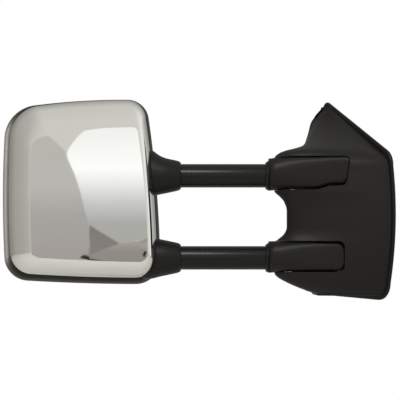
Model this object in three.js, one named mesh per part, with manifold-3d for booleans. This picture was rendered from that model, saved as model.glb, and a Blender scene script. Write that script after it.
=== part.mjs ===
// A telescoping towing mirror for the door of a pickup truck.
// Two steel tubes, clamped in arms that fold on the door base, carry a large head that slides in and out.
// Frame: millimetres, +X inboard along the tubes, +Y rearward (the way the glass faces), +Z up.
// The origin is the centre of the face that lies on the door.
import * as THREE from "three";
import { mergeVertices } from "three/addons/utils/BufferGeometryUtils.js";
import Module from "manifold-3d";

// ---- Driving dimensions ----
const GAP = 0.3; // between pieces that seat on each other
const PLAY = 1; // around pieces that swing past each other
const SWEEP = THREE.MathUtils.degToRad(35); // the arms sweep back this far from square to the door

const TUBE_RADIUS = 16;
const TUBE_WALL = 2;
const TUBE_Y = -42;
const UPPER_Z = 35.6;
const LOWER_Z = -76;
const TRAVEL = 100; // how far the head slides on the tubes
const PARKED_GAP = 17; // between a boot and its arm when the head is pushed in
const ENGAGED = 88; // length of tube inside the head when it is pulled out

const PIVOT_X = -38; // the upright fold pivot stands on the tubes' plane
const PIVOT_RADIUS = 8;
const PIVOT_BUSH_WALL = 2;
const KNUCKLE_RADIUS = 21;
const MOUTH_DEPTH = 10; // how far behind the front of the knuckle a slot's mouth reaches
const ARM_REACH = 84; // from the pivot to the end of the arm's cover
const ARM_NOSE = 4; // the collar in front of the cover
const ARM_FRONT = 25; // the cover's face stands this far before the tube's axis
const ARM_BACK = 20.5;
const SOCKET_DEPTH = 62; // how deep a tube sits in its arm
const FOLD_ANGLE = THREE.MathUtils.degToRad(48);

const SHELL_WALL = 3;
const CAP_WALL = 2.4;
const HEAD_SPARE = 30.5; // room past the tube ends when the head is pushed in
const BOOT_LENGTH = 26;
const HEAD_TOP = 143;
const HEAD_LEAN = 21; // the head's inboard top corner stands this far outboard
const HEAD_TOP_FALL = 11.8; // the outboard top corner is this much lower
const HEAD_BOTTOM_RISE = 7;
const FOOT_ROOM = 22.8; // from the lower tube to the head's lowest corner
const HEAD_DEPTH_FRONT = 46; // from the tubes' plane to the front of the cap
const HEAD_SHOULDER = 8; // where the cap's side starts to round over
const CROWN = 4; // the cap's front panel swells this far
const HEAD_SEAM = 35; // from the tubes' plane back to the cap's edge

const CARRIER_WALL = 3.5;
const ACTUATOR_SIZE = 84;
const ACTUATOR_DEPTH = 17;
const BUSH_WALL = 2;
const BUSH_LENGTH = 16;
const DIVIDER_Z = -46; // the bar between the main glass and the spotter glass
const DIVIDER_HALF = 4;
const GLASS_THICKNESS = 2.2;
const GLASS_RECESS = 10; // the glass lies this far inside the head's rim
const GLASS_ROOM = 4.5; // free space round a glass, for its tilt

const GASKET_THICKNESS = 4.5;
const GASKET_LIP = 4.5; // the gasket stands this far out past the base shell
const GASKET_WIDTH = 16;
const PLATE_THICKNESS = 6;
const LUG_THICKNESS = 8;
const LUG_HALF = 12;
const STUD_RADIUS = 3;
const STUD_LENGTH = 20;

// ---- Values worked out from them ----
const PIVOT = new THREE.Vector2(PIVOT_X, TUBE_Y);
const ARM_END_X = PIVOT_X - ARM_REACH;
const BOOT_END_X = ARM_END_X - ARM_NOSE + 2 - PARKED_GAP - TRAVEL;
const HEAD_RIGHT = BOOT_END_X - BOOT_LENGTH;
const HEAD_WIDTH = ENGAGED + TRAVEL + HEAD_SPARE;
const HEAD_LEFT = HEAD_RIGHT - HEAD_WIDTH;
const HEAD_BOTTOM = LOWER_Z - TUBE_RADIUS - FOOT_ROOM;
const TUBE_TIP_X = BOOT_END_X - ENGAGED;
const CARRIER_Y = TUBE_Y + TUBE_RADIUS + 1.5;
const ACTUATOR_Y = CARRIER_Y + CARRIER_WALL + GAP;
const GLASS_PIVOT_Y = ACTUATOR_Y + ACTUATOR_DEPTH + 5.5;
const BACKING_Y = GLASS_PIVOT_Y + 5.5;
const BACKING_DEPTH = 5.5;
const GLASS_Y = BACKING_Y + BACKING_DEPTH + GAP;
const RIM_Y = GLASS_Y + GLASS_THICKNESS + GLASS_RECESS;
const SEAM_Y = TUBE_Y + HEAD_SEAM;
const SHOULDER_Y = TUBE_Y - HEAD_SHOULDER;
const FRONT_Y = TUBE_Y - HEAD_DEPTH_FRONT;
const ROUND = 20; // sides of a plain round piece

// ---- Materials ----
const paint = (color, roughness, metalness) =>
  new THREE.MeshStandardMaterial({ color, roughness, metalness });
const chrome = paint(0xd8d6d0, 0.04, 1);
const blackPlastic = paint(0x1c1b1a, 0.5, 0);
const coatedSteel = paint(0x161616, 0.35, 0.3);
const castMetal = paint(0x8c8e90, 0.5, 0.8);
const innerPlastic = paint(0x26282a, 0.6, 0);
const whiteNylon = paint(0xd9d4c4, 0.5, 0);
const steel = paint(0xa9abad, 0.35, 0.9);
const rubber = paint(0x111111, 0.85, 0);
const silvered = paint(0xdfe4e8, 0.02, 1);

// ---- Solids ----
const wasm = await Module();
wasm.setup();

// A closed geometry as a solid that can be cut and joined. Its faces are turned out if they point in.
function solid(geometry) {
  const loose = geometry.index ? geometry.toNonIndexed() : geometry;
  const bare = new THREE.BufferGeometry().setAttribute("position", loose.getAttribute("position"));
  const merged = mergeVertices(bare, 1e-3);
  const position = merged.attributes.position.array;
  const corners = new Uint32Array(merged.index.array);
  const at = (i) => new THREE.Vector3().fromArray(position, corners[i] * 3);
  let volume = 0;
  for (let i = 0; i < corners.length; i += 3) volume += at(i).dot(at(i + 1).cross(at(i + 2)));
  if (volume < 0) corners.reverse();
  return new wasm.Manifold(new wasm.Mesh({ numProp: 3, vertProperties: position, triVerts: corners }));
}

function geometryOf(made) {
  const mesh = made.getMesh();
  const position = new Float32Array(mesh.numVert * 3);
  for (let i = 0; i < mesh.numVert; i++) {
    position.set(mesh.vertProperties.subarray(i * mesh.numProp, i * mesh.numProp + 3), i * 3);
  }
  return new THREE.BufferGeometry()
    .setAttribute("position", new THREE.BufferAttribute(position, 3))
    .setIndex(new THREE.BufferAttribute(new Uint32Array(mesh.triVerts), 1));
}

function box(low, high) {
  const size = high.map((value, i) => value - low[i]);
  return solid(new THREE.BoxGeometry(...size).translate(...low.map((value, i) => value + size[i] / 2)));
}

// Round rods along each axis, from one end to the other, through a point of the plane across it.
function rodX(radius, x0, x1, y = 0, z = 0, sides = ROUND) {
  const made = new THREE.CylinderGeometry(radius, radius, x1 - x0, sides).rotateZ(-Math.PI / 2);
  return solid(made.translate((x0 + x1) / 2, y, z));
}

function rodY(radius, y0, y1, x = 0, z = 0, sides = ROUND) {
  return solid(new THREE.CylinderGeometry(radius, radius, y1 - y0, sides).translate(x, (y0 + y1) / 2, z));
}

function rodZ(radius, z0, z1, x = 0, y = 0, sides = ROUND) {
  const made = new THREE.CylinderGeometry(radius, radius, z1 - z0, sides).rotateX(Math.PI / 2);
  return solid(made.translate(x, y, (z0 + z1) / 2));
}

// An outline in the plan view, raised from one height to another.
function prismZ(outline, z0, z1) {
  const made = new THREE.ExtrudeGeometry(new THREE.Shape(outline), { depth: z1 - z0, bevelEnabled: false });
  return solid(made.translate(0, 0, z0));
}

// An outline in the front view (x, z), given depth from y0 back to y1.
function prismY(outline, y0, y1) {
  const made = new THREE.ExtrudeGeometry(new THREE.Shape(outline), { depth: y1 - y0, bevelEnabled: false });
  return solid(made.rotateX(Math.PI / 2).translate(0, y1, 0));
}

// A turned piece about the x axis: profile points are (distance along x, radius), and close on the axis.
function turnedX(profile, sides = ROUND) {
  const made = new THREE.LatheGeometry(profile.map(([x, r]) => new THREE.Vector2(r, x)), sides);
  return solid(made.rotateZ(-Math.PI / 2));
}

// A closed body through a row of rings with equally many points, its ends closed by fans.
function loft(rings) {
  const count = rings[0].length;
  const position = [];
  const triangle = (...points) => points.forEach((p) => position.push(p.x, p.y, p.z));
  const middle = (ring) => ring.reduce((sum, p) => sum.add(p), new THREE.Vector3()).divideScalar(count);
  const first = middle(rings[0]);
  const last = middle(rings.at(-1));
  for (let i = 0; i < count; i++) {
    const j = (i + 1) % count;
    triangle(first, rings[0][j], rings[0][i]);
    triangle(last, rings.at(-1)[i], rings.at(-1)[j]);
    for (let k = 0; k + 1 < rings.length; k++) {
      triangle(rings[k][i], rings[k][j], rings[k + 1][j]);
      triangle(rings[k][i], rings[k + 1][j], rings[k + 1][i]);
    }
  }
  const geometry = new THREE.BufferGeometry();
  geometry.setAttribute("position", new THREE.Float32BufferAttribute(position, 3));
  return solid(geometry);
}

// A polygon whose corners are arcs of their own radii and whose sides bow out by their own amounts.
function roundedPolygon(corners, radii, bows = [], arcSteps = 6, sideSteps = 3) {
  const count = corners.length;
  const turns = corners.map((corner, i) => {
    const before = corners[(i + count - 1) % count].clone().sub(corner).normalize();
    const after = corners[(i + 1) % count].clone().sub(corner).normalize();
    const half = Math.acos(THREE.MathUtils.clamp(before.dot(after), -1, 1)) / 2;
    const reach = radii[i] / Math.tan(half);
    const middle = before.clone().add(after).normalize();
    const centre = middle.multiplyScalar(radii[i] / Math.sin(half)).add(corner);
    return {
      centre,
      start: before.multiplyScalar(reach).add(corner),
      end: after.multiplyScalar(reach).add(corner),
    };
  });
  const outline = [];
  turns.forEach(({ centre, start, end }, i) => {
    const from = start.clone().sub(centre);
    const angle = Math.atan2(from.cross(end.clone().sub(centre)), from.dot(end.clone().sub(centre)));
    for (let k = 0; k <= arcSteps; k++) {
      outline.push(from.clone().rotateAround(new THREE.Vector2(), (angle * k) / arcSteps).add(centre));
    }
    const next = turns[(i + 1) % count].start;
    const side = next.clone().sub(end);
    const outward = new THREE.Vector2(side.y, -side.x).normalize();
    const bow = bows[i] ?? 0;
    for (let k = 1; k < sideSteps; k++) {
      const share = k / sideSteps;
      const push = bow * 4 * share * (1 - share);
      outline.push(end.clone().addScaledVector(side, share).addScaledVector(outward, push));
    }
  });
  return outline;
}

// Smooth values between knots [at, value], for shapes that change along an axis.
function along(knots) {
  return (at) => {
    const last = knots.length - 1;
    if (at <= knots[0][0]) return knots[0][1];
    if (at >= knots[last][0]) return knots[last][1];
    const i = knots.findIndex(([where]) => where > at) - 1;
    const slope = (k) => {
      const [a, b] = [knots[Math.max(k - 1, 0)], knots[Math.min(k + 1, last)]];
      return (b[1] - a[1]) / (b[0] - a[0]);
    };
    const [[x0, v0], [x1, v1]] = [knots[i], knots[i + 1]];
    const h = x1 - x0;
    const t = (at - x0) / h;
    const rise = v1 - v0;
    const limit = (s) => (s * rise <= 0 ? 0 : Math.sign(s) * Math.min(Math.abs(s), (3 * Math.abs(rise)) / h));
    const [m0, m1] = [limit(slope(i)) * h, limit(slope(i + 1)) * h];
    const [t2, t3] = [t * t, t * t * t];
    return v0 * (2 * t3 - 3 * t2 + 1) + m0 * (t3 - 2 * t2 + t) + v1 * (3 * t2 - 2 * t3) + m1 * (t3 - t2);
  };
}

// ---- The scene graph ----
const mirror = new THREE.Group();

function addPiece(name, made, material, { parent = mirror, position, rotation } = {}) {
  const mesh = new THREE.Mesh(geometryOf(made), material);
  mesh.name = name;
  if (position) mesh.position.set(...position);
  if (rotation) mesh.rotation.set(...rotation);
  parent.add(mesh);
  return mesh;
}

// ---- The base on the door ----
// In the door group, +X points into the door, +Y runs rearward along it, and the door face is x = 0.
const door = new THREE.Group();
door.rotation.z = SWEEP;
mirror.add(door);
const doorNormal = new THREE.Vector2(Math.cos(SWEEP), Math.sin(SWEEP));
const doorRearward = new THREE.Vector2(-Math.sin(SWEEP), Math.cos(SWEEP));
const onDoor = (s, distance = 0) =>
  doorRearward.clone().multiplyScalar(s).addScaledVector(doorNormal, -distance);
const pivotOff = -PIVOT.dot(doorNormal);
const pivotAlong = PIVOT.dot(doorRearward);

// The outline of the base on the door, as (distance rearward, height): the sloping top follows the pillar.
const FRONT_BOW = 8;
function doorOutline(inset, arcSteps = 6) {
  const corners = [
    [-82 + inset, 64 - 1.4 * inset],
    [66 - inset, 141 - 1.3 * inset],
    [93 - inset, 112 - 0.4 * inset],
    [93 - inset, -129 + inset],
    [-75 + inset, -134 + inset],
  ].map(([s, z]) => new THREE.Vector2(s, z)).reverse();
  const radii = [24, 12, 14, 7, 22].map((r) => Math.max(r - inset / 2, 4));
  return roundedPolygon(corners, radii, [0, 0, 0, 0, FRONT_BOW], arcSteps, 6);
}

// Where the base shell's edge on the door starts and ends at a height.
const shellEdge = doorOutline(GASKET_LIP, 8);
function doorSpan(z) {
  const hits = shellEdge.flatMap((a, i) => {
    const b = shellEdge[(i + 1) % shellEdge.length];
    return (a.y - z) * (b.y - z) <= 0 && a.y !== b.y ? [a.x + ((b.x - a.x) * (z - a.y)) / (b.y - a.y)] : [];
  });
  return [Math.min(...hits), Math.max(...hits)];
}

// The shell's outboard end at each height: ears over and under each arm, a web between them, then the sail.
const ARM_TOP = { upper: 27, lower: 23.4 };
const EAR_OVERHANG = 8; // the shell's ears end this far short of the arm covers
const EAR_END = ARM_END_X + EAR_OVERHANG;
const WEB_END = ARM_END_X + 25;
const shellEnd = along([
  [LOWER_Z - 52, -44],
  [LOWER_Z - 49, -56],
  [LOWER_Z - 41, EAR_END + 34],
  [LOWER_Z - 33, EAR_END + 16],
  [LOWER_Z - 26, EAR_END + 4],
  [LOWER_Z - 20, EAR_END],
  [LOWER_Z + 21, EAR_END],
  [LOWER_Z + 25, EAR_END + 5],
  [LOWER_Z + 32, WEB_END - 4],
  [LOWER_Z + 42, WEB_END],
  [UPPER_Z - 48, WEB_END],
  [UPPER_Z - 35, WEB_END - 4],
  [UPPER_Z - 28, EAR_END + 7],
  [UPPER_Z - 21, EAR_END],
  [UPPER_Z + 24, EAR_END],
  [UPPER_Z + 31, EAR_END + 7],
  [UPPER_Z + 35, EAR_END + 17],
  [UPPER_Z + 38, EAR_END + 30],
  [UPPER_Z + 43, -71],
  [UPPER_Z + 53, -64],
  [UPPER_Z + 68, -57],
  [UPPER_Z + 84, -51],
  [UPPER_Z + 95, -44],
]);
const shellEndY = along([
  [UPPER_Z + 28, TUBE_Y],
  [UPPER_Z + 38, TUBE_Y + 9],
  [UPPER_Z + 51, TUBE_Y + 44],
  [UPPER_Z + 67, TUBE_Y + 76],
  [UPPER_Z + 83, TUBE_Y + 97],
  [UPPER_Z + 95, TUBE_Y + 100],
]);
// How full the front face stands: it stays full up to the shoulder over the upper arm, then leans back.
const shellFullness = along([
  [LOWER_Z - 46, 0.8],
  [LOWER_Z - 30, 1],
  [UPPER_Z + 26, 1],
  [UPPER_Z + 36, 1.35],
  [UPPER_Z + 60, 1],
]);

// The base shell's section at a height, in the plan view, taken in all round by a wall.
function shellSection(z, inset) {
  const [front, rear] = doorSpan(z);
  const start = onDoor(front + inset, GASKET_THICKNESS + GAP);
  const finish = onDoor(rear - inset, GASKET_THICKNESS + GAP);
  const end = new THREE.Vector2(shellEnd(z) + inset, shellEndY(z));
  const span = start.distanceTo(end);
  const full = shellFullness(z);
  const bulge = 0.165 * span * full - inset;
  const face = new THREE.CubicBezierCurve(
    start,
    start.clone().add(new THREE.Vector2(-0.209 * span, -0.068 * span * full + inset * 1.1)),
    end.clone().add(new THREE.Vector2(0, -bulge)),
    end,
  );
  const back = new THREE.CubicBezierCurve(
    end,
    end.clone().add(new THREE.Vector2(0, 0.24 * span - inset)),
    finish.clone().addScaledVector(doorNormal, -0.32 * span + inset),
    finish,
  );
  // The hollow runs on through the door side, which stays open.
  const mouth = inset > 0 ? [onDoor(rear - inset, 0), onDoor(front + inset, 0)] : [];
  return [...face.getPoints(10).slice(0, -1), ...back.getPoints(6), ...mouth];
}

const SHELL_LEVELS = [
  [LOWER_Z, -52, -49, -45, -40, -34, -27, -20, 21, 26, 32, 42],
  [UPPER_Z, -48, -38, -31, -24, 26, 31, 35, 39, 44, 52, 62, 72, 82, 91, 96],
].flatMap(([from, ...offsets]) => offsets.map((offset) => from + offset));

// The whole shape of the base: the shell and the arms' covers are cut from it, or stand flush with it.
function shellBody(inset) {
  const low = Math.min(...shellEdge.map((p) => p.y)) + 1.5 + inset;
  const high = Math.max(...shellEdge.map((p) => p.y)) - 1.5 - 3 * inset; // the thin tip is solid
  const levels = SHELL_LEVELS.map((z) => THREE.MathUtils.clamp(z, low, high));
  const rows = levels.filter((z, i) => i === 0 || z - levels[i - 1] > 1.5);
  return loft(rows.map((z) => shellSection(z, inset).map((p) => new THREE.Vector3(p.x, p.y, z))));
}

// ---- The two arms ----
// An arm's outer shape runs from its nose at the tube to its heel inboard of the pivot.
const ARMS = {
  upper: {
    z: UPPER_Z,
    top: ARM_TOP.upper,
    topAtNose: 23.3,
    bottom: -12.8,
    heel: 25.8,
    knuckle: [-12.5, 13.5],
  },
  lower: {
    z: LOWER_Z,
    top: ARM_TOP.lower,
    topAtNose: 22.6,
    bottom: -18.6,
    heel: 17.6,
    knuckle: [-6.5, 23.1],
  },
};
const BOTTOM_AT_NOSE = -20.4;
const BOTTOM_AT_SOCKET = -18.4;

function armEdges(arm, reach) {
  const top = along([[0, arm.top], [ARM_REACH - 30, arm.top], [ARM_REACH, arm.topAtNose]])(reach);
  const bottom = along([
    [-arm.heel, arm.bottom],
    [0, arm.bottom],
    [ARM_REACH - SOCKET_DEPTH, Math.min(arm.bottom, BOTTOM_AT_SOCKET)],
    [ARM_REACH - 30, Math.min(arm.bottom, BOTTOM_AT_SOCKET)],
    [ARM_REACH, BOTTOM_AT_NOSE],
  ])(reach);
  return [bottom, top];
}

// A section across the arm: round at the nose, squarer and flat-faced towards the heel.
function armSection(arm, reach, inset) {
  const [bottom, top] = armEdges(arm, reach);
  const squareness = along([[-arm.heel, 7], [20, 5], [ARM_REACH - 25, 2.9], [ARM_REACH, 2.2]])(reach);
  const front = along([
    [0, ARM_FRONT],
    [ARM_REACH - 20, ARM_FRONT - 0.8],
    [ARM_REACH, ARM_FRONT - 3.4],
  ])(reach);
  const half = (top - bottom) / 2 - inset;
  const ring = [];
  const sides = 24;
  for (let i = 0; i < sides; i++) {
    const angle = (i / sides) * 2 * Math.PI;
    const [c, s] = [Math.cos(angle), Math.sin(angle)];
    const depth = (c < 0 ? front : ARM_BACK) - inset;
    const y = Math.sign(c) * depth * Math.abs(c) ** (2 / squareness);
    const z = (top + bottom) / 2 + Math.sign(s) * half * Math.abs(s) ** (2 / squareness);
    ring.push(new THREE.Vector3(PIVOT_X - reach, TUBE_Y + y, arm.z + z));
  }
  return ring;
}

function armBody(arm, inset) {
  const reaches = [-arm.heel + inset, -8, 8, 22, 38, 54, 66, 76, ARM_REACH - inset];
  return loft(reaches.map((reach) => armSection(arm, reach, inset)));
}

const COVER_WALL = 2.6;
const COVER_EDGE = 8; // the cover wraps back to this far in front of the tube's axis
const FAR = 400;
const clampScrewSeats = [ARM_REACH - 14, ARM_REACH - 44];

function buildArm(name, arm) {
  const knuckleTop = arm.z + arm.knuckle[1];
  const knuckleBottom = arm.z + arm.knuckle[0];
  const frontOf = (y) => box([-FAR, -FAR, -FAR], [FAR, y, FAR]);
  const cover = armBody(arm, 0).subtract(armBody(arm, COVER_WALL)).intersect(frontOf(TUBE_Y - COVER_EDGE));
  const noseInside = ARM_END_X + COVER_WALL + 2;
  const tubeHole = rodX(TUBE_RADIUS + 1.5, ARM_END_X - ARM_NOSE - 6, noseInside, TUBE_Y, arm.z);
  const pivotHole = rodZ(KNUCKLE_RADIUS + PLAY, arm.z - 60, arm.z + 60, PIVOT.x, PIVOT.y, 28);
  addPiece(`${name}_arm_cover`, cover.subtract(tubeHole).subtract(pivotHole), blackPlastic);

  const behind = box([-FAR, TUBE_Y - COVER_EDGE + GAP, -FAR], [PIVOT_X, FAR, FAR]);
  const nose = turnedX([
    [ARM_END_X - ARM_NOSE, 0],
    [ARM_END_X - ARM_NOSE, TUBE_RADIUS + 1.8],
    [ARM_END_X - ARM_NOSE + 2, TUBE_RADIUS + 3.4],
    [ARM_END_X - GAP, TUBE_RADIUS + 4],
    [ARM_END_X - GAP, 0],
  ]).translate([0, TUBE_Y, arm.z]);
  const neck = rodX(TUBE_RADIUS + 1.2, ARM_END_X - GAP - 1, ARM_END_X + 8, TUBE_Y, arm.z);
  const outer = armBody(arm, COVER_WALL + GAP)
    .intersect(box([-FAR, -FAR, -FAR], [PIVOT_X, FAR, FAR]))
    .add(armBody(arm, 0).intersect(behind));
  const relief = (z0, z1) => rodZ(KNUCKLE_RADIUS + 3 * PLAY, z0, z1, PIVOT.x, PIVOT.y, 28);
  const clampHoles = clampScrewSeats.map((reach) =>
    rodY(STUD_RADIUS + GAP, TUBE_Y, TUBE_Y + FAR, PIVOT_X - reach, arm.z, 12),
  );
  const body = outer
    .subtract(relief(knuckleTop, arm.z + 60))
    .subtract(relief(arm.z - 60, knuckleBottom))
    .add(rodZ(KNUCKLE_RADIUS - 1, knuckleBottom, knuckleTop, PIVOT.x, PIVOT.y, 28))
    .add(nose)
    .add(neck)
    .subtract(rodX(TUBE_RADIUS + GAP, ARM_END_X - ARM_NOSE - 1, ARM_END_X + SOCKET_DEPTH, TUBE_Y, arm.z))
    .subtract(rodZ(PIVOT_RADIUS + PIVOT_BUSH_WALL + 2 * GAP, arm.z - 60, arm.z + 60, PIVOT.x, PIVOT.y));
  addPiece(`${name}_arm`, clampHoles.reduce((made, hole) => made.subtract(hole), body), castMetal);

  const bush = rodZ(PIVOT_RADIUS + PIVOT_BUSH_WALL + GAP, knuckleBottom, knuckleTop)
    .subtract(rodZ(PIVOT_RADIUS + GAP, knuckleBottom - 1, knuckleTop + 1));
  addPiece(`${name}_pivot_bush`, bush, whiteNylon, { position: [PIVOT.x, PIVOT.y, 0] });

  // Set screws pinch the tube from behind.
  const setScrew = rodY(STUD_RADIUS, TUBE_RADIUS + GAP, ARM_BACK - 0.5, 0, 0, 12)
    .subtract(rodY(STUD_RADIUS * 0.55, ARM_BACK - 2.5, ARM_BACK, 0, 0, 6));
  clampScrewSeats.forEach((reach, i) => {
    addPiece(`${name}_clamp_screw_${i + 1}`, setScrew, steel, { position: [PIVOT_X - reach, TUBE_Y, arm.z] });
  });

  const tubeStart = ARM_END_X + SOCKET_DEPTH - GAP;
  const tube = rodX(TUBE_RADIUS, TUBE_TIP_X, tubeStart, 0, 0, 32)
    .subtract(rodX(TUBE_RADIUS - TUBE_WALL, TUBE_TIP_X - 1, tubeStart + 1, 0, 0, 24));
  addPiece(`${name}_tube`, tube, coatedSteel, { position: [0, TUBE_Y, arm.z] });

  // A stop in the tube's tip keeps the head on the tubes.
  const stop = rodX(TUBE_RADIUS + GAP + 1, TUBE_TIP_X - 4, TUBE_TIP_X - GAP)
    .add(rodX(TUBE_RADIUS - TUBE_WALL - GAP, TUBE_TIP_X - 1, TUBE_TIP_X + 14, 0, 0, 24))
    .subtract(rodX(TUBE_RADIUS - TUBE_WALL - 4, TUBE_TIP_X - 5, TUBE_TIP_X + 15, 0, 0, 16));
  addPiece(`${name}_tube_stop`, stop, innerPlastic, { position: [0, TUBE_Y, arm.z] });
}

buildArm("upper", ARMS.upper);
buildArm("lower", ARMS.lower);

// ---- The base: shell, casting, pivot and gasket ----
// Room for an arm to swing: open before and outboard of it, and back to its folded place.
function armSlot(arm) {
  const room = KNUCKLE_RADIUS + PLAY;
  const heelX = PIVOT_X + arm.heel + PLAY;
  const folded = new THREE.Vector2(Math.cos(Math.PI - FOLD_ANGLE), Math.sin(Math.PI - FOLD_ANGLE));
  const square = new THREE.Vector2(folded.y, -folded.x).multiplyScalar(room);
  const arc = new THREE.EllipseCurve(PIVOT.x, PIVOT.y, room, room, 0, square.angle(), false);
  const swing = [
    new THREE.Vector2(PIVOT.x, PIVOT.y - room),
    ...new THREE.EllipseCurve(PIVOT.x, PIVOT.y, room, room, -Math.PI / 2, 0, false).getPoints(6).slice(1, -1),
    ...arc.getPoints(6),
    PIVOT.clone().add(square).addScaledVector(folded, FAR),
    new THREE.Vector2(-FAR, FAR),
    new THREE.Vector2(-FAR, PIVOT.y - room),
  ];
  const [bottomAtNose] = armEdges(arm, ARM_REACH);
  const [bottomAtHeel] = armEdges(arm, 0);
  const [bottomAtMiddle] = armEdges(arm, ARM_REACH - SOCKET_DEPTH);
  // The slot's floor falls outwards as a cone, so the arm's sloping underside clears it at every angle.
  const rows = [
    [0, arm.top + PLAY],
    [FAR, arm.top + PLAY],
    [FAR, bottomAtNose - PLAY],
    [ARM_REACH, bottomAtNose - PLAY],
    [ARM_REACH - 30, bottomAtMiddle - PLAY],
    [ARM_REACH - SOCKET_DEPTH - 1, bottomAtMiddle - PLAY],
    [8, bottomAtHeel - PLAY],
    [0, bottomAtHeel - PLAY],
  ];
  const profile = rows.map(([r, z]) => new THREE.Vector2(r, z));
  const disc = solid(new THREE.LatheGeometry(profile, 64).rotateX(Math.PI / 2))
    .translate([PIVOT.x, PIVOT.y, arm.z]);
  const mouth = box([-FAR, -FAR, -FAR], [heelX, PIVOT.y - room + MOUTH_DEPTH, FAR]);
  return disc.intersect(prismZ(swing, -FAR, FAR).add(mouth));
}

const slots = Object.values(ARMS).map(armSlot);
const shell = slots.reduce((made, slot) => made.subtract(slot), shellBody(0).subtract(shellBody(SHELL_WALL)));
addPiece("base_shell", shell, blackPlastic);

// Pieces flat on the door are drawn as (distance rearward, height) and given depth off it.
function offDoor(outline, near, far, holes = []) {
  const shape = new THREE.Shape(outline);
  shape.holes.push(...holes.map((hole) => new THREE.Path(hole)));
  const made = new THREE.ExtrudeGeometry(shape, { depth: far - near, bevelEnabled: false });
  return solid(made.rotateX(Math.PI / 2).rotateZ(Math.PI / 2).translate(-far, 0, 0));
}
addPiece(
  "door_gasket",
  offDoor(doorOutline(0), 0, GASKET_THICKNESS, [doorOutline(GASKET_WIDTH).reverse()]),
  rubber,
  { parent: door },
);

const STUDS = [[-38, -88], [62, -88], [30, 66]]; // distance rearward and height of each door stud
const GROMMET = { s: -30, z: 12, radius: 13 };
const upperLug = [UPPER_Z + 16.1, UPPER_Z + 16.1 + LUG_THICKNESS];
const lowerLug = [LOWER_Z - 9.1 - LUG_THICKNESS, LOWER_Z - 9.1];
const plateInset = GASKET_WIDTH + 1;
const lug = ([low, high]) =>
  box([-pivotOff, pivotAlong - LUG_HALF, low], [-1, pivotAlong + LUG_HALF, high])
    .add(rodZ(LUG_HALF, low, high, -pivotOff, pivotAlong))
    .subtract(rodZ(PIVOT_RADIUS + GAP, low - 1, high + 1, -pivotOff, pivotAlong));
const bracket = [
  ...STUDS.map(([s, z]) => rodX(STUD_RADIUS + GAP, -FAR, FAR, s, z, 16)),
  rodX(GROMMET.radius + GAP, -FAR, FAR, GROMMET.s, GROMMET.z, 20),
].reduce(
  (made, hole) => made.subtract(hole),
  offDoor(doorOutline(plateInset), 0, PLATE_THICKNESS).add(lug(upperLug)).add(lug(lowerLug)),
);
addPiece("base_bracket", bracket, castMetal, { parent: door });

const stud = rodX(STUD_RADIUS, -PLATE_THICKNESS - 4, STUD_LENGTH, 0, 0, 16)
  .add(rodX(STUD_RADIUS * 2, -PLATE_THICKNESS - 4, -PLATE_THICKNESS - GAP, 0, 0, 6));
STUDS.forEach(([s, z], i) => {
  addPiece(`door_stud_${i + 1}`, stud, steel, { parent: door, position: [0, s, z] });
});

// The wiring passes through a rubber grommet in the bracket.
const grommet = turnedX([
  [-PLATE_THICKNESS - 3, 0],
  [-PLATE_THICKNESS - 3, GROMMET.radius + 3],
  [-PLATE_THICKNESS - GAP, GROMMET.radius + 3],
  [-PLATE_THICKNESS - GAP, GROMMET.radius],
  [0, GROMMET.radius],
  [6, GROMMET.radius - 4],
  [6, 0],
], 20).subtract(rodX(5, -20, 20, 0, 0, 16));
addPiece("harness_grommet", grommet, rubber, { parent: door, position: [0, GROMMET.s, GROMMET.z] });

const BOLT_HEAD = 2.6;
const NUT_HEIGHT = 8;
const boltTop = upperLug[1] + GAP;
const boltEnd = lowerLug[0] - GAP - NUT_HEIGHT - 2;
const boltHead = rodZ(PIVOT_RADIUS + 4, boltTop, boltTop + BOLT_HEAD);
const bolt = rodZ(PIVOT_RADIUS, boltEnd, boltTop + 1).add(boltHead);
addPiece("pivot_bolt", bolt, steel, { position: [PIVOT.x, PIVOT.y, 0] });
const nutBore = rodZ(PIVOT_RADIUS + GAP, -NUT_HEIGHT - 1, 1);
const nut = rodZ(PIVOT_RADIUS + 5, -NUT_HEIGHT, 0, 0, 0, 6).subtract(nutBore);
addPiece("pivot_nut", nut, steel, { position: [PIVOT.x, PIVOT.y, lowerLug[0] - GAP] });

const detentRing = (low, high) =>
  rodZ(KNUCKLE_RADIUS - 5, low, high).subtract(rodZ(PIVOT_RADIUS + GAP, low - 1, high + 1));
const ringAt = { position: [PIVOT.x, PIVOT.y, 0] };
const upperRing = detentRing(UPPER_Z + ARMS.upper.knuckle[1] + GAP, upperLug[0] - GAP);
addPiece("upper_detent_ring", upperRing, steel, ringAt);
const lowerRing = detentRing(lowerLug[1] + GAP, LOWER_Z + ARMS.lower.knuckle[0] - GAP);
addPiece("lower_detent_ring", lowerRing, steel, ringAt);

// One spring between the arms presses both of them onto their detent rings.
const WASHER = 2;
const SPRING_WIRE = 2;
const SPRING_TURNS = 6;
const springLow = LOWER_Z + ARMS.lower.knuckle[1] + GAP;
const springHigh = UPPER_Z + ARMS.upper.knuckle[0] - GAP;
const washer = rodZ(PIVOT_RADIUS + 9, 0, WASHER).subtract(rodZ(PIVOT_RADIUS + GAP, -1, WASHER + 1));
addPiece("lower_spring_washer", washer, steel, { position: [PIVOT.x, PIVOT.y, springLow] });
addPiece("upper_spring_washer", washer, steel, { position: [PIVOT.x, PIVOT.y, springHigh - WASHER] });

class Helix extends THREE.Curve {
  constructor(radius, low, high, turns) {
    super();
    Object.assign(this, { radius, low, high, turns });
  }
  getPoint(t) {
    const angle = t * this.turns * 2 * Math.PI;
    const z = THREE.MathUtils.lerp(this.low, this.high, t);
    return new THREE.Vector3(this.radius * Math.cos(angle), this.radius * Math.sin(angle), z);
  }
}

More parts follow.
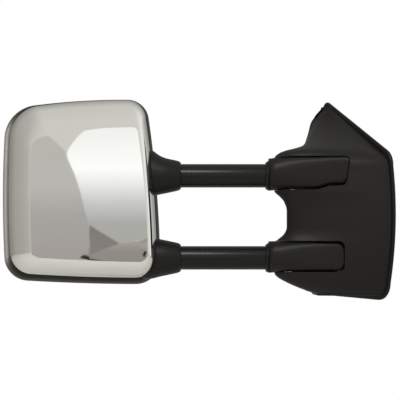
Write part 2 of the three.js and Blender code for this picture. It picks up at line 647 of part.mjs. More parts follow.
// A wire of round section along a path.
function wire(path, radius, steps, sides = 6) {
  const section = new THREE.Shape(new THREE.EllipseCurve(0, 0, radius, radius).getPoints(sides).slice(0, -1));
  return solid(new THREE.ExtrudeGeometry(section, { steps, extrudePath: path }));
}
const springEnd = WASHER + GAP + SPRING_WIRE + 0.4;
const helix = new Helix(PIVOT_RADIUS + 4.5, springLow + springEnd, springHigh - springEnd, SPRING_TURNS);
addPiece("detent_spring", wire(helix, SPRING_WIRE, SPRING_TURNS * 10, 5), steel, ringAt);

// ---- The head ----
// The head's outline in the front view, with each side taken in by its own amount.
const CAP_INSET = { left: 13, right: 2.5, top: 3.2, bottom: 11 }; // the cap's edge, inside the head's rim
const ROUNDING = { left: 27, right: 12, top: 34, bottom: 37 }; // from the cap's edge to its front panel
const HEAD_RADII = [34, 34, 30, 48];

const takenIn = (from, amount) =>
  Object.fromEntries(Object.entries(from).map(([side, value]) => [side, value + amount]));
const blendInsets = (from, to, share) =>
  Object.fromEntries(Object.entries(from).map(([side, value]) => [side, value + to[side] * share]));
const scaled = (inset, share) => blendInsets(inset, inset, share - 1);
const NO_INSET = scaled(CAP_INSET, 0);
// How the housing flares from the cap's edge: depth, and the share of the cap's inset left there.
const FLARE = [
  [SEAM_Y + 18, 0.12],
  [SEAM_Y + 8, 0.4],
  [SEAM_Y, 1],
];

function headOutline(inset, tighten = 0) {
  const right = (z) => HEAD_RIGHT - inset.right - (HEAD_LEAN * (z - HEAD_BOTTOM)) / (HEAD_TOP - HEAD_BOTTOM);
  const left = HEAD_LEFT + inset.left;
  const [top, bottom] = [HEAD_TOP - inset.top, HEAD_BOTTOM + inset.bottom];
  const corners = [
    [left, bottom + HEAD_BOTTOM_RISE],
    [right(bottom), bottom],
    [right(top), top],
    [left, top - HEAD_TOP_FALL],
  ].map(([x, z]) => new THREE.Vector2(x, z));
  return roundedPolygon(corners, HEAD_RADII.map((r) => Math.max(r - tighten, 8)), [1, 3, 2, 2], 4, 3);
}

const ringAtDepth = (outline, y) => outline.map((p) => new THREE.Vector3(p.x, y, p.y));

// The whole head, or its hollow when taken in by a wall: flared from the cap's edge back to the rim.
function headBody(wall) {
  const rings = [
    ringAtDepth(headOutline(takenIn(NO_INSET, wall), wall), RIM_Y + (wall > 0 ? 1 : 0)),
    ringAtDepth(headOutline(takenIn(NO_INSET, wall), wall), RIM_Y - 3),
    ...FLARE.map(([y, share]) => {
      const inset = takenIn(scaled(CAP_INSET, share), wall);
      return ringAtDepth(headOutline(inset, wall + 4 * share), y);
    }),
  ];
  const sideInset = takenIn(CAP_INSET, wall);
  const depth = SHOULDER_Y - FRONT_Y - CROWN;
  for (const turn of [0, 18, 36, 52, 66, 78, 90]) {
    const angle = THREE.MathUtils.degToRad(turn);
    const inset = blendInsets(sideInset, ROUNDING, 1 - Math.cos(angle));
    const outline = headOutline(inset, wall + 4 + 8 * Math.sin(angle));
    rings.push(ringAtDepth(outline, SHOULDER_Y - depth * Math.sin(angle) + wall * Math.sin(angle)));
  }
  const panel = blendInsets(sideInset, ROUNDING, 1);
  rings.push(ringAtDepth(headOutline(takenIn(panel, 36), 16), FRONT_Y + wall + CROWN / 4));
  rings.push(ringAtDepth(headOutline(takenIn(panel, 60), 24), FRONT_Y + wall));
  return loft(rings.map((ring) => ring.reverse()));
}

const tubeLines = Object.values(ARMS).map((arm) => arm.z);
const besideTubes = (made, radius, x0, x1) =>
  tubeLines.reduce((left, z) => left.subtract(rodX(radius, x0, x1, TUBE_Y, z, 24)), made);
const BOOT_SPIGOT = 4; // the boot's neck is this much larger than the tube
const headShell = headBody(0).subtract(headBody(CAP_WALL));
const openShell = besideTubes(headShell, TUBE_RADIUS + BOOT_SPIGOT + GAP, HEAD_RIGHT - 40, HEAD_RIGHT + 10);

// Screw posts reach from the cap's front wall back to the carrier.
const CARRIER_SCREWS = [
  [HEAD_LEFT + 40, UPPER_Z + 52],
  [HEAD_RIGHT - 46, UPPER_Z + 57],
  [HEAD_LEFT + 40, LOWER_Z + 54],
  [HEAD_RIGHT - 36, LOWER_Z + 54],
];
const SCREW_RADIUS = 2;
const SCREW_BITE = 16;
const postSolid = CARRIER_SCREWS.map(([x, z]) => rodY(5, FRONT_Y, CARRIER_Y - GAP, x, z, 14))
  .reduce((made, post) => made.add(post))
  .intersect(headBody(CAP_WALL / 2));
const screwHoles = CARRIER_SCREWS.map(([x, z]) =>
  rodY(SCREW_RADIUS + GAP, CARRIER_Y - SCREW_BITE - 1, CARRIER_Y + 20, x, z, 12),
).reduce((made, hole) => made.add(hole));
const beforeSeam = box([-FAR * 2, -FAR, -FAR], [FAR, SEAM_Y, FAR]);
const cap = openShell.intersect(beforeSeam).add(postSolid).subtract(screwHoles);
addPiece("chrome_cap", cap, chrome);

// The housing closes the back of the head: a tongue fits inside the cap, a bar parts the two glasses.
const tongueBack = SEAM_Y - 6;
const bandBetween = (low, high) => box([-FAR * 2, low, -FAR], [FAR, high, FAR]);
const tongue = headBody(CAP_WALL + GAP)
  .subtract(headBody(CAP_WALL + GAP + 1.8))
  .intersect(bandBetween(tongueBack, SEAM_Y + 2));
const tongueRoot = headBody(1)
  .subtract(headBody(CAP_WALL + GAP + 1.8))
  .intersect(bandBetween(SEAM_Y + GAP, SEAM_Y + 2));
const divider = headBody(1).intersect(
  box([-FAR * 2, BACKING_Y - 4, DIVIDER_Z - DIVIDER_HALF], [FAR, RIM_Y - 5, DIVIDER_Z + DIVIDER_HALF]),
);
const housing = openShell
  .intersect(bandBetween(SEAM_Y + GAP, RIM_Y))
  .add(besideTubes(tongue.add(tongueRoot), TUBE_RADIUS + BOOT_SPIGOT + GAP, HEAD_RIGHT - 40, HEAD_RIGHT + 10))
  .add(divider);
addPiece("rear_housing", housing, blackPlastic);

// Rubber boots wipe the tubes where they enter the head.
const bootEnd = BOOT_END_X;
function buildBoot(name, z, extra) {
  const skin = turnedX([
    [bootEnd - 50, 0],
    [bootEnd - 50, 28 + extra],
    [bootEnd - 30, 25.5 + extra],
    [bootEnd - 12, 21.8 + extra / 2],
    [bootEnd - 2, TUBE_RADIUS + 2.4],
    [bootEnd, TUBE_RADIUS + 1.6],
    [bootEnd, 0],
  ], 32).translate([0, TUBE_Y, z]);
  const neck = rodX(TUBE_RADIUS + BOOT_SPIGOT, bootEnd - 40, bootEnd - 14, TUBE_Y, z, 32);
  const rightOfHead = box([HEAD_RIGHT - 30, -FAR, -FAR], [FAR, FAR, FAR]);
  const outside = skin.subtract(headBody(-GAP)).intersect(rightOfHead);
  const bore = rodX(TUBE_RADIUS + GAP, bootEnd - 60, bootEnd + 5, TUBE_Y, z, 32);
  const relief = rodX(TUBE_RADIUS + 2, bootEnd - 60, bootEnd - 6, TUBE_Y, z, 32);
  addPiece(name, outside.add(neck).subtract(bore).subtract(relief), rubber);
}
buildBoot("upper_boot", UPPER_Z, 0);
buildBoot("lower_boot", LOWER_Z, 2);

// The carrier: a plate behind the tubes with a sleeve round each, where the guide bushes sit.
const CENTRE_X = HEAD_LEFT + 0.48 * HEAD_WIDTH;
const ACTUATOR_Z = UPPER_Z + 8.4;
const plateOutline = headOutline(takenIn(CAP_INSET, CAP_WALL + 3), 10);
const sleeveLeft = TUBE_TIP_X + GAP;
const sleeveRight = HEAD_RIGHT - 16;
const sleeves = tubeLines
  .map((z) => rodX(TUBE_RADIUS + BUSH_WALL + 4, sleeveLeft, sleeveRight, TUBE_Y, z, 28))
  .reduce((made, sleeve) => made.add(sleeve))
  .intersect(headBody(CAP_WALL + GAP + 0.6));
const windows = [
  box([HEAD_LEFT + 60, CARRIER_Y - 5, LOWER_Z - 8], [HEAD_LEFT + 100, CARRIER_Y + 9, LOWER_Z + 38]),
  box([HEAD_RIGHT - 62, CARRIER_Y - 5, LOWER_Z + 38], [HEAD_RIGHT - 46, CARRIER_Y + 9, LOWER_Z + 64]),
];
const sleeveBore = TUBE_RADIUS + BUSH_WALL + 2 * GAP;
const carrier = windows.reduce(
  (made, window) => made.subtract(window),
  besideTubes(
    prismY(plateOutline, CARRIER_Y, CARRIER_Y + CARRIER_WALL)
      .intersect(box([-FAR * 2, -FAR, -FAR], [sleeveRight, FAR, FAR]))
      .add(sleeves),
    sleeveBore,
    HEAD_LEFT,
    sleeveRight + 30,
  ).subtract(screwHoles),
);
addPiece("head_carrier", carrier, innerPlastic);

const carrierScrew = rodY(SCREW_RADIUS, -SCREW_BITE, CARRIER_WALL + GAP + 1, 0, 0, 12)
  .add(rodY(SCREW_RADIUS * 2, CARRIER_WALL + GAP, CARRIER_WALL + GAP + 2.5, 0, 0, 12));
CARRIER_SCREWS.forEach(([x, z], i) => {
  addPiece(`carrier_screw_${i + 1}`, carrierScrew, steel, { position: [x, CARRIER_Y, z] });
});

const guideBush = rodX(TUBE_RADIUS + BUSH_WALL + GAP, 0, BUSH_LENGTH, 0, 0, 20)
  .subtract(rodX(TUBE_RADIUS + GAP, -1, BUSH_LENGTH + 1, 0, 0, 20));
for (const [name, arm] of Object.entries(ARMS)) {
  const places = { inner: sleeveRight - BUSH_LENGTH - 6, outer: sleeveLeft + 1 };
  for (const [place, x] of Object.entries(places)) {
    addPiece(`${name}_${place}_bush`, guideBush, whiteNylon, { position: [x, TUBE_Y, arm.z] });
  }
}

// ---- The powered glass ----
// The drive group's origin is the point the main glass turns about.
const drive = new THREE.Group();
drive.position.set(CENTRE_X, GLASS_PIVOT_Y, ACTUATOR_Z);
mirror.add(drive);
const caseFront = ACTUATOR_Y - GLASS_PIVOT_Y;
const caseBack = caseFront + ACTUATOR_DEPTH;
const LID = 2.2;
const CASE_WALL = 2;
const HALF = ACTUATOR_SIZE / 2;
const CASE_ROOM = HALF - CASE_WALL;
const JACK_ARM = 30; // from the glass's turning point to each jack
const JACK_RADIUS = 3;
const GEAR_RADIUS = 9;
const JACKS = { pan: [JACK_ARM, 0], tilt: [0, -JACK_ARM] };
const lidFront = caseBack - LID;

const tray = box([-HALF, caseFront, -HALF], [HALF, lidFront - GAP, HALF])
  .subtract(box([-CASE_ROOM, caseFront + CASE_WALL, -CASE_ROOM], [CASE_ROOM, FAR, CASE_ROOM]));
addPiece("actuator_case", tray, innerPlastic, { parent: drive });

const PIN_RADIUS = 2;
const EAR = 3.2; // an ear reaches this far past its pin
const lidEar = (side) =>
  box([-4, lidFront + 1, side * 10.5 - 2], [4, EAR, side * 10.5 + 2]);
const jackHoles = Object.values(JACKS).map(([x, z]) =>
  rodY(JACK_RADIUS + 2 * GAP, lidFront - 1, caseBack + 1, x, z, 16),
);
const lid = [...jackHoles, rodZ(PIN_RADIUS + GAP, -20, 20, 0, 0, 16)].reduce(
  (made, hole) => made.subtract(hole),
  box([-HALF, lidFront, -HALF], [HALF, caseBack, HALF]).add(lidEar(1)).add(lidEar(-1)),
);
addPiece("actuator_lid", lid, innerPlastic, { parent: drive });

// A motor and its worm lie in the case beside each gear.
const motorY = caseFront + CASE_WALL + 6.5;
const motorAlongZ = rodZ(5.8, -16, 10, 0, 0, 16)
  .add(rodZ(1.6, 9, 26, 0, 0, 10))
  .add(rodZ(3, 14, 24, 0, 0, 12));
const panMotorX = JACK_ARM - GEAR_RADIUS - 4;
addPiece("pan_motor", motorAlongZ, steel, { parent: drive, position: [panMotorX, motorY, -19] });
const motorAlongX = rodX(5.8, -16, 10, 0, 0, 16)
  .add(rodX(1.6, 9, 26, 0, 0, 10))
  .add(rodX(3, 14, 24, 0, 0, 12));
addPiece("tilt_motor", motorAlongX, steel, {
  parent: drive,
  position: [-19, motorY, -JACK_ARM + GEAR_RADIUS + 4],
});

// Each gear is the turning nut of its jack; the jack pushes on the backing plate.
const gear = rodY(GEAR_RADIUS, 0, 7, 0, 0, 24).subtract(rodY(JACK_RADIUS + GAP, -1, 8, 0, 0, 20));
const gearAt = caseFront + CASE_WALL + 2.5;
const jackBall = solid(new THREE.SphereGeometry(JACK_RADIUS + 0.4, 10, 8));
const jack = rodY(JACK_RADIUS, caseFront + 6, BACKING_Y - GLASS_PIVOT_Y - 1.3, 0, 0, 16)
  .add(jackBall.translate([0, BACKING_Y - GLASS_PIVOT_Y - 3.8, 0]));
for (const [name, [x, z]] of Object.entries(JACKS)) {
  addPiece(`${name}_gear`, gear, whiteNylon, { parent: drive, position: [x, gearAt, z] });
  addPiece(`${name}_jack`, jack, steel, { parent: drive, position: [x, 0, z] });
}

// A gimbal block turns on an upright pin in the lid and carries the backing plate on a level one.
const gimbal = (reach) =>
  box([-4, -2.6, -4], [4, 2.6, 4])
    .add(rodZ(PIN_RADIUS, -reach, reach, 0, 0, 16))
    .add(rodX(PIN_RADIUS, -reach, reach, 0, 0, 16));
addPiece("main_gimbal", gimbal(12.4), steel, { parent: drive });

// A pane's outline, inside the head, from one height to another.
const PANE_INSET = takenIn(scaled(CAP_INSET, 0.8), CAP_WALL + GLASS_ROOM + 0.2);
function paneOutline(low, high, slopeTop, slopeBottom, radii) {
  const lean = (z) => (HEAD_LEAN * (z - HEAD_BOTTOM)) / (HEAD_TOP - HEAD_BOTTOM);
  const right = (z) => HEAD_RIGHT - PANE_INSET.right - lean(z);
  const left = HEAD_LEFT + PANE_INSET.left;
  const corners = [
    [left, low + slopeBottom],
    [right(low), low],
    [right(high), high],
    [left, high - slopeTop],
  ].map(([x, z]) => new THREE.Vector2(x, z));
  return roundedPolygon(corners, radii, [], 5, 1);
}
const mainPane = paneOutline(
  DIVIDER_Z + DIVIDER_HALF + 4,
  HEAD_TOP - PANE_INSET.top,
  HEAD_TOP_FALL,
  0,
  [9, 9, 24, 38],
);
const spotterPane = paneOutline(
  HEAD_BOTTOM + PANE_INSET.bottom,
  DIVIDER_Z - DIVIDER_HALF - 3.5,
  0,
  HEAD_BOTTOM_RISE,
  [20, 20, 7, 7],
);

// A backing plate carries its glass in a shallow rim, with two ears on the gimbal's level pin.
function buildPane(name, outline, [x, y, z]) {
  const plateY = y + BACKING_Y - GLASS_PIVOT_Y;
  const ear = (side) => box([x + side * 10.5 - 2, y - EAR, z - 4], [x + side * 10.5 + 2, plateY + 1, z + 4]);
  const shrink = (amount) => {
    const middle = outline.reduce((sum, p) => sum.add(p), new THREE.Vector2()).divideScalar(outline.length);
    const reach = new THREE.Vector2();
    outline.forEach((p) => reach.max(p.clone().sub(middle)));
    return outline.map((p) => {
      const from = p.clone().sub(middle);
      return new THREE.Vector2(from.x * (1 - amount / reach.x), from.y * (1 - amount / reach.y)).add(middle);
    });
  };
  const glassBack = plateY + BACKING_DEPTH;
  const plate = prismY(outline, plateY, glassBack + GLASS_THICKNESS)
    .subtract(prismY(shrink(1.6), glassBack, glassBack + GLASS_THICKNESS + 1))
    .subtract(prismY(shrink(5), plateY + 2.4, glassBack + 1))
    .add(ear(1))
    .add(ear(-1))
    .subtract(rodX(PIN_RADIUS + GAP, x - 20, x + 20, y, z, 16));
  addPiece(`${name}_backing_plate`, plate, innerPlastic);
  const pane = prismY(shrink(1.6 + GAP), glassBack + GAP, glassBack + GAP + GLASS_THICKNESS);
  addPiece(`${name}_glass`, pane, silvered);
}
buildPane("main", mainPane, [CENTRE_X, GLASS_PIVOT_Y, ACTUATOR_Z]);

// ---- The spotter glass, set by hand ----
const SPOTTER_Z = LOWER_Z + 1.5;
const spotterAt = [CENTRE_X, GLASS_PIVOT_Y, SPOTTER_Z];
addPiece("spotter_gimbal", gimbal(12.4), steel, { position: spotterAt });
buildPane("spotter", spotterPane, spotterAt);
const postFront = CARRIER_Y + CARRIER_WALL + GAP - GLASS_PIVOT_Y;
const spotterPost = box([-9, postFront, -14], [9, -6.5, 14])
  .add(box([-4, -8, 8.5], [4, EAR, 12.5]))
  .add(box([-4, -8, -12.5], [4, EAR, -8.5]))
  .subtract(rodZ(PIN_RADIUS + GAP, -20, 20, 0, 0, 16));
addPiece("spotter_post", spotterPost, innerPlastic, { position: spotterAt });

export default mirror;
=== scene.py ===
import math

import bpy
import numpy as np
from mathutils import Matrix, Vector


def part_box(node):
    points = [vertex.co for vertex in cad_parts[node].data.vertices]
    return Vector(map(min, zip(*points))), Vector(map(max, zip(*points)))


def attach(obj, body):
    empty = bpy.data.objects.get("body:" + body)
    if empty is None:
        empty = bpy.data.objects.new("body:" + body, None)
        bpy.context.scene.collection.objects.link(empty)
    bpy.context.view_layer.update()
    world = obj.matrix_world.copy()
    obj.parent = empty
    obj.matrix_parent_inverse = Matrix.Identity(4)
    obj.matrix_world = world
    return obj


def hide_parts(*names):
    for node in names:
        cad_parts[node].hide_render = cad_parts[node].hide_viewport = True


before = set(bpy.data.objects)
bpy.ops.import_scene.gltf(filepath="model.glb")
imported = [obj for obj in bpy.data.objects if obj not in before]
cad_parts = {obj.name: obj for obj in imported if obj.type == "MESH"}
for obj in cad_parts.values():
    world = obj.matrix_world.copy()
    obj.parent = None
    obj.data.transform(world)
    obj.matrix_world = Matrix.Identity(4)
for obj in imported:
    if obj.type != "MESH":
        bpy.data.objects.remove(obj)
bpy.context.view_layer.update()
MM = 0.001


# ---- Door bracket, studs and pivot hardware ----
# The die-cast bracket lies on the door and carries two lugs for the pivot bolt; plated studs hold it.
# Their solids keep their own shapes and take a cast grain and a drawn steel finish.
def new_finish(name, colour, roughness, metallic=0.0):
    finish = bpy.data.materials.new(name)
    finish.use_nodes = True
    shader = finish.node_tree.nodes["Principled BSDF"]
    shader.inputs["Base Color"].default_value = (*colour, 1.0)
    shader.inputs["Roughness"].default_value = roughness
    shader.inputs["Metallic"].default_value = metallic
    return finish


def node_in(finish, kind, **values):
    made = finish.node_tree.nodes.new(kind)
    for key, value in values.items():
        if key in made.inputs:
            made.inputs[key].default_value = value
        else:
            setattr(made, key, value)
    return made


def grain_on(finish, fine, depth_mm, tones, cloud=14.0, rough=(0.4, 0.6), stretch=(1, 1, 1)):
    """Fine surface grain, cloudy colour between two tones, and a roughness that wanders with it."""
    tree = finish.node_tree
    link = tree.links.new
    shader = tree.nodes["Principled BSDF"]
    place = node_in(finish, "ShaderNodeTexCoord")
    turn = node_in(finish, "ShaderNodeMapping", Scale=stretch)
    link(place.outputs["Object"], turn.inputs["Vector"])
    cloudy = node_in(finish, "ShaderNodeTexNoise", Scale=cloud, Detail=5.0)
    link(turn.outputs["Vector"], cloudy.inputs["Vector"])
    ramp = node_in(finish, "ShaderNodeValToRGB")
    ramp.color_ramp.elements[0].position, ramp.color_ramp.elements[1].position = 0.3, 0.7
    ramp.color_ramp.elements[0].color = (*tones[0], 1)
    ramp.color_ramp.elements[1].color = (*tones[1], 1)
    link(cloudy.outputs["Fac"], ramp.inputs["Fac"])
    link(ramp.outputs["Color"], shader.inputs["Base Color"])
    wander = node_in(finish, "ShaderNodeMapRange")
    wander.inputs["To Min"].default_value, wander.inputs["To Max"].default_value = rough
    link(cloudy.outputs["Fac"], wander.inputs["Value"])
    link(wander.outputs["Result"], shader.inputs["Roughness"])
    pores = node_in(finish, "ShaderNodeTexNoise", Scale=fine, Detail=3.0)
    link(turn.outputs["Vector"], pores.inputs["Vector"])
    bump = node_in(finish, "ShaderNodeBump", Strength=0.6, Distance=depth_mm * MM)
    link(pores.outputs["Fac"], bump.inputs["Height"])
    link(bump.outputs["Normal"], shader.inputs["Normal"])
    return finish


cast_finish = grain_on(new_finish("cast_alloy", (0.4, 0.4, 0.41), 0.5, 0.85), 700, 0.12,
                       ((0.1, 0.1, 0.105), (0.17, 0.17, 0.175)), rough=(0.45, 0.6))
steel_finish = grain_on(new_finish("drawn_steel", (0.5, 0.5, 0.52), 0.35, 0.95), 900, 0.04,
                        ((0.42, 0.42, 0.44), (0.6, 0.6, 0.61)), rough=(0.25, 0.4), stretch=(1, 1, 6))


def give(finish, *nodes):
    for node in nodes:
        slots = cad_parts[node].data.materials
        slots.clear()
        slots.append(finish)


give(cast_finish, "base_bracket")
give(steel_finish, "door_stud_1", "door_stud_2", "door_stud_3")
black_steel_finish = grain_on(new_finish("black_oxide_steel", (0.018, 0.018, 0.019), 0.42, 0.6), 700, 0.03,
                              ((0.014, 0.014, 0.015), (0.026, 0.025, 0.025)), rough=(0.36, 0.5))
give(black_steel_finish, "pivot_bolt", "pivot_nut", "upper_detent_ring", "lower_detent_ring",
     "lower_spring_washer", "upper_spring_washer", "detent_spring")


# ---- Harness grommet ----
# Black moulded rubber, pressed into the bracket where the harness passes into the door.
# Its solid keeps its own shape; the gasket and the boots share its rubber.
rubber_finish = grain_on(new_finish("moulded_rubber", (0.012, 0.012, 0.012), 0.75), 1300, 0.06,
                         ((0.003, 0.003, 0.003), (0.006, 0.0057, 0.0054)), rough=(0.36, 0.48))
rubber_finish.node_tree.nodes["Principled BSDF"].inputs["Specular IOR Level"].default_value = 0.24


def deselect():
    if bpy.context.object and bpy.context.object.mode == "EDIT":
        bpy.ops.object.mode_set(mode="OBJECT")
    bpy.ops.object.select_all(action="DESELECT")


def work_on(piece):
    deselect()
    piece.select_set(True)
    bpy.context.view_layer.objects.active = piece


def apply_modifier(piece, kind, **settings):
    work_on(piece)
    modifier = piece.modifiers.new(kind.lower(), kind)
    for key, value in settings.items():
        setattr(modifier, key, value)
    bpy.ops.object.modifier_apply(modifier=modifier.name)


def smooth(piece, degrees=35):
    work_on(piece)
    bpy.ops.object.shade_smooth_by_angle(angle=math.radians(degrees))


def copy_of(node, name):
    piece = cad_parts[node].copy()
    piece.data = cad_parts[node].data.copy()
    piece.name = piece.data.name = name
    bpy.context.collection.objects.link(piece)
    work_on(piece)
    bpy.ops.object.mode_set(mode="EDIT")
    bpy.ops.mesh.select_all(action="SELECT")
    bpy.ops.mesh.remove_doubles(threshold=0.02 * MM)
    bpy.ops.mesh.dissolve_limited(angle_limit=math.radians(0.5))
    bpy.ops.object.mode_set(mode="OBJECT")
    return piece


def settle(piece, finish, body, slot, *nodes):
    """Gives a finished piece its material and its body, and hides the solids that it stands for. The slot
    argument is not used.
    """
    piece.data.materials.clear()
    piece.data.materials.append(finish)
    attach(piece, body)
    if nodes:
        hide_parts(*nodes)


give(rubber_finish, "harness_grommet")


# ---- Base shell ----
# The black moulded cover of the base, 3 mm thick, with a fine pebbled texture: ears over and under each arm,
# a hollow web between them and a sail on top. It is drawn level by level in plan, then slotted for the arms.
# Its wall thins towards the sail's tip, where the two sides come close together.
textured_finish = grain_on(new_finish("textured_black", (0.02, 0.019, 0.018), 0.5), 1500, 0.1,
                           ((0.006, 0.0056, 0.0051), (0.0095, 0.0088, 0.008)), cloud=9, rough=(0.4, 0.5))
textured_finish.node_tree.nodes["Principled BSDF"].inputs["Specular IOR Level"].default_value = 0.25
PIVOT = (-38.0, -42.0)
TUBE_Y = -42.0
UPPER_Z, LOWER_Z = 35.6, -76.0
ARM_REACH = 84.0
SWEEP = math.radians(35)
DOOR_NORMAL = np.array([math.cos(SWEEP), math.sin(SWEEP)])
DOOR_REARWARD = np.array([-math.sin(SWEEP), math.cos(SWEEP)])
SHELL_OFF_DOOR = 4.8


def easing(*knots):
    """A smooth curve through knots (at, value) that never overshoots them."""
    at = np.array([k[0] for k in knots], float)
    value = np.array([k[1] for k in knots], float)
    rise = np.diff(value) / np.diff(at)
    slope = np.zeros(len(at))
    for i in range(1, len(at) - 1):
        if rise[i - 1] * rise[i] > 0:
            wanted = (value[i + 1] - value[i - 1]) / (at[i + 1] - at[i - 1])
            slope[i] = math.copysign(min(abs(wanted), 3 * abs(rise[i - 1]), 3 * abs(rise[i])), rise[i])
    slope[0], slope[-1] = rise[0], rise[-1]

    def curve(x):
        x = min(max(x, at[0]), at[-1])
        i = min(int(np.searchsorted(at, x, side="right")) - 1, len(at) - 2)
        h = at[i + 1] - at[i]
        t = (x - at[i]) / h
        return (value[i] * (2 * t**3 - 3 * t**2 + 1) + slope[i] * h * (t**3 - 2 * t**2 + t)
                + value[i + 1] * (3 * t**2 - 2 * t**3) + slope[i + 1] * h * (t**3 - t**2))
    return curve


EAR_END, WEB_END = -114.0, -97.0
SAIL_FOOT = UPPER_Z + 24
WEB_TOP, WEB_FOOT = UPPER_Z - 21, LOWER_Z + 21
shell_end = easing(
    (LOWER_Z - 52, -44), (LOWER_Z - 49, -56), (LOWER_Z - 41, EAR_END + 34), (LOWER_Z - 33, EAR_END + 16),
    (LOWER_Z - 26, EAR_END + 4), (LOWER_Z - 20, EAR_END), (WEB_FOOT, EAR_END), (WEB_FOOT + 4, EAR_END + 5),
    (WEB_FOOT + 11, WEB_END - 4), (WEB_FOOT + 21, WEB_END), (WEB_TOP - 27, WEB_END),
    (WEB_TOP - 14, WEB_END - 4), (WEB_TOP - 7, EAR_END + 7), (WEB_TOP, EAR_END), (SAIL_FOOT, EAR_END),
    (SAIL_FOOT + 7, EAR_END + 7),
    (SAIL_FOOT + 11, EAR_END + 17), (SAIL_FOOT + 14, EAR_END + 30), (SAIL_FOOT + 19, -71),
    (SAIL_FOOT + 29, -64), (SAIL_FOOT + 44, -57), (SAIL_FOOT + 60, -51), (SAIL_FOOT + 71, -44))
shell_end_y = easing(
    (SAIL_FOOT + 4, TUBE_Y), (SAIL_FOOT + 14, TUBE_Y + 9), (SAIL_FOOT + 27, TUBE_Y + 44),
    (SAIL_FOOT + 43, TUBE_Y + 76), (SAIL_FOOT + 59, TUBE_Y + 97), (SAIL_FOOT + 71, TUBE_Y + 100))
shell_fullness = easing((LOWER_Z - 46, 0.8), (LOWER_Z - 30, 1), (UPPER_Z + 26, 1), (UPPER_Z + 36, 1.35),
                        (UPPER_Z + 60, 1))


def rounded_polygon(corners, radii, bows=None, arc_steps=12, side_steps=8):
    """Corners with arcs of their own radii, joined by sides that bow out by their own amounts."""
    count = len(corners)
    corners = [np.array(c, float) for c in corners]
    bows = bows or [0] * count
    turns = []
    for i, corner in enumerate(corners):
        before = corners[i - 1] - corner
        after = corners[(i + 1) % count] - corner
        before, after = before / np.linalg.norm(before), after / np.linalg.norm(after)
        half = math.acos(float(np.clip(before @ after, -1, 1))) / 2
        middle = before + after
        centre = corner + middle / np.linalg.norm(middle) * radii[i] / math.sin(half)
        reach = radii[i] / math.tan(half)
        turns.append((centre, corner + before * reach, corner + after * reach))
    outline = []
    for i, (centre, start, end) in enumerate(turns):
        a, b = start - centre, end - centre
        angle = math.atan2(a[0] * b[1] - a[1] * b[0], a @ b)
        for k in range(arc_steps + 1):
            c, s = math.cos(angle * k / arc_steps), math.sin(angle * k / arc_steps)
            outline.append(centre + np.array([a[0] * c - a[1] * s, a[0] * s + a[1] * c]))
        following = turns[(i + 1) % count][1]
        side = following - end
        outward = np.array([side[1], -side[0]]) / np.linalg.norm(side)
        for k in range(1, side_steps):
            share = k / side_steps
            outline.append(end + side * share + outward * bows[i] * 4 * share * (1 - share))
    return outline


GASKET_LIP = 4.5
shell_edge = rounded_polygon(
    [(-75 + GASKET_LIP, -134 + GASKET_LIP), (93 - GASKET_LIP, -129 + GASKET_LIP),
     (93 - GASKET_LIP, 112 - 0.4 * GASKET_LIP), (66 - GASKET_LIP, 141 - 1.3 * GASKET_LIP),
     (-82 + GASKET_LIP, 64 - 1.4 * GASKET_LIP)],
    [19.75, 4.75, 11.75, 9.75, 21.75], [0, 0, 0, 0, 8], 10, 12)
edge_low = min(p[1] for p in shell_edge)
edge_high = max(p[1] for p in shell_edge)


def on_door(s, off):
    return DOOR_REARWARD * s - DOOR_NORMAL * off


def door_span(z):
    hits = []
    for a, b in zip(shell_edge, shell_edge[1:] + shell_edge[:1]):
        if (a[1] - z) * (b[1] - z) <= 0 and a[1] != b[1]:
            hits.append(a[0] + (b[0] - a[0]) * (z - a[1]) / (b[1] - a[1]))
    return min(hits), max(hits)


def bezier(points, steps):
    t = np.linspace(0, 1, steps)[:, None]
    p = [np.array(q, float) for q in points]
    return (1 - t)**3 * p[0] + 3 * (1 - t)**2 * t * p[1] + 3 * (1 - t) * t**2 * p[2] + t**3 * p[3]


def shell_section(z):
    front, rear = door_span(z)
    start, finish = on_door(front, SHELL_OFF_DOOR), on_door(rear, SHELL_OFF_DOOR)
    end = np.array([shell_end(z), shell_end_y(z)])
    span = np.linalg.norm(start - end)
    full = shell_fullness(z)
    face = bezier([start, start + np.array([-0.209 * span, -0.068 * span * full]),
                   end + np.array([0, -0.165 * span * full]), end], 34)
    back = bezier([end, end + np.array([0, 0.24 * span]), finish - DOOR_NORMAL * 0.32 * span, finish], 20)
    return np.vstack([face, back[1:]])


def sheet_through(name, rows, closed=False):
    """A grid laid through rows of points (mm), each with as many points as the next."""
    rows = [np.array(row, float) for row in rows]
    across, down = len(rows[0]), len(rows)
    deselect()
    bpy.ops.mesh.primitive_grid_add(x_subdivisions=across - 1, y_subdivisions=down - 1, size=1)
    piece = bpy.context.object
    piece.name = piece.data.name = name
    for vertex in piece.data.vertices:
        i = round((vertex.co.x + 0.5) * (across - 1))
        j = round((vertex.co.y + 0.5) * (down - 1))
        vertex.co = Vector(rows[j][i]) * MM
    if closed:
        bpy.ops.object.mode_set(mode="EDIT")
        bpy.ops.mesh.select_all(action="SELECT")
        bpy.ops.mesh.remove_doubles(threshold=0.002 * MM)
        bpy.ops.object.mode_set(mode="OBJECT")
    return piece


def face_outwards(piece, inside):
    """Turns an open sheet so that its faces point away from a point inside it (mm)."""
    middle = Vector(inside) * MM
    total = sum((p.center - middle).dot(p.normal) * p.area for p in piece.data.polygons)
    if total < 0:
        work_on(piece)
        bpy.ops.object.mode_set(mode="EDIT")
        bpy.ops.mesh.select_all(action="SELECT")
        bpy.ops.mesh.flip_normals()
        bpy.ops.object.mode_set(mode="OBJECT")


EDGE_ROUND = 2.5
EDGE_INSET = 1.5
shell_height = edge_high - edge_low - 2 * EDGE_INSET - 2 * EDGE_ROUND
shell_levels = [edge_low + EDGE_INSET + EDGE_ROUND + k for k in np.linspace(0, shell_height, 96)]


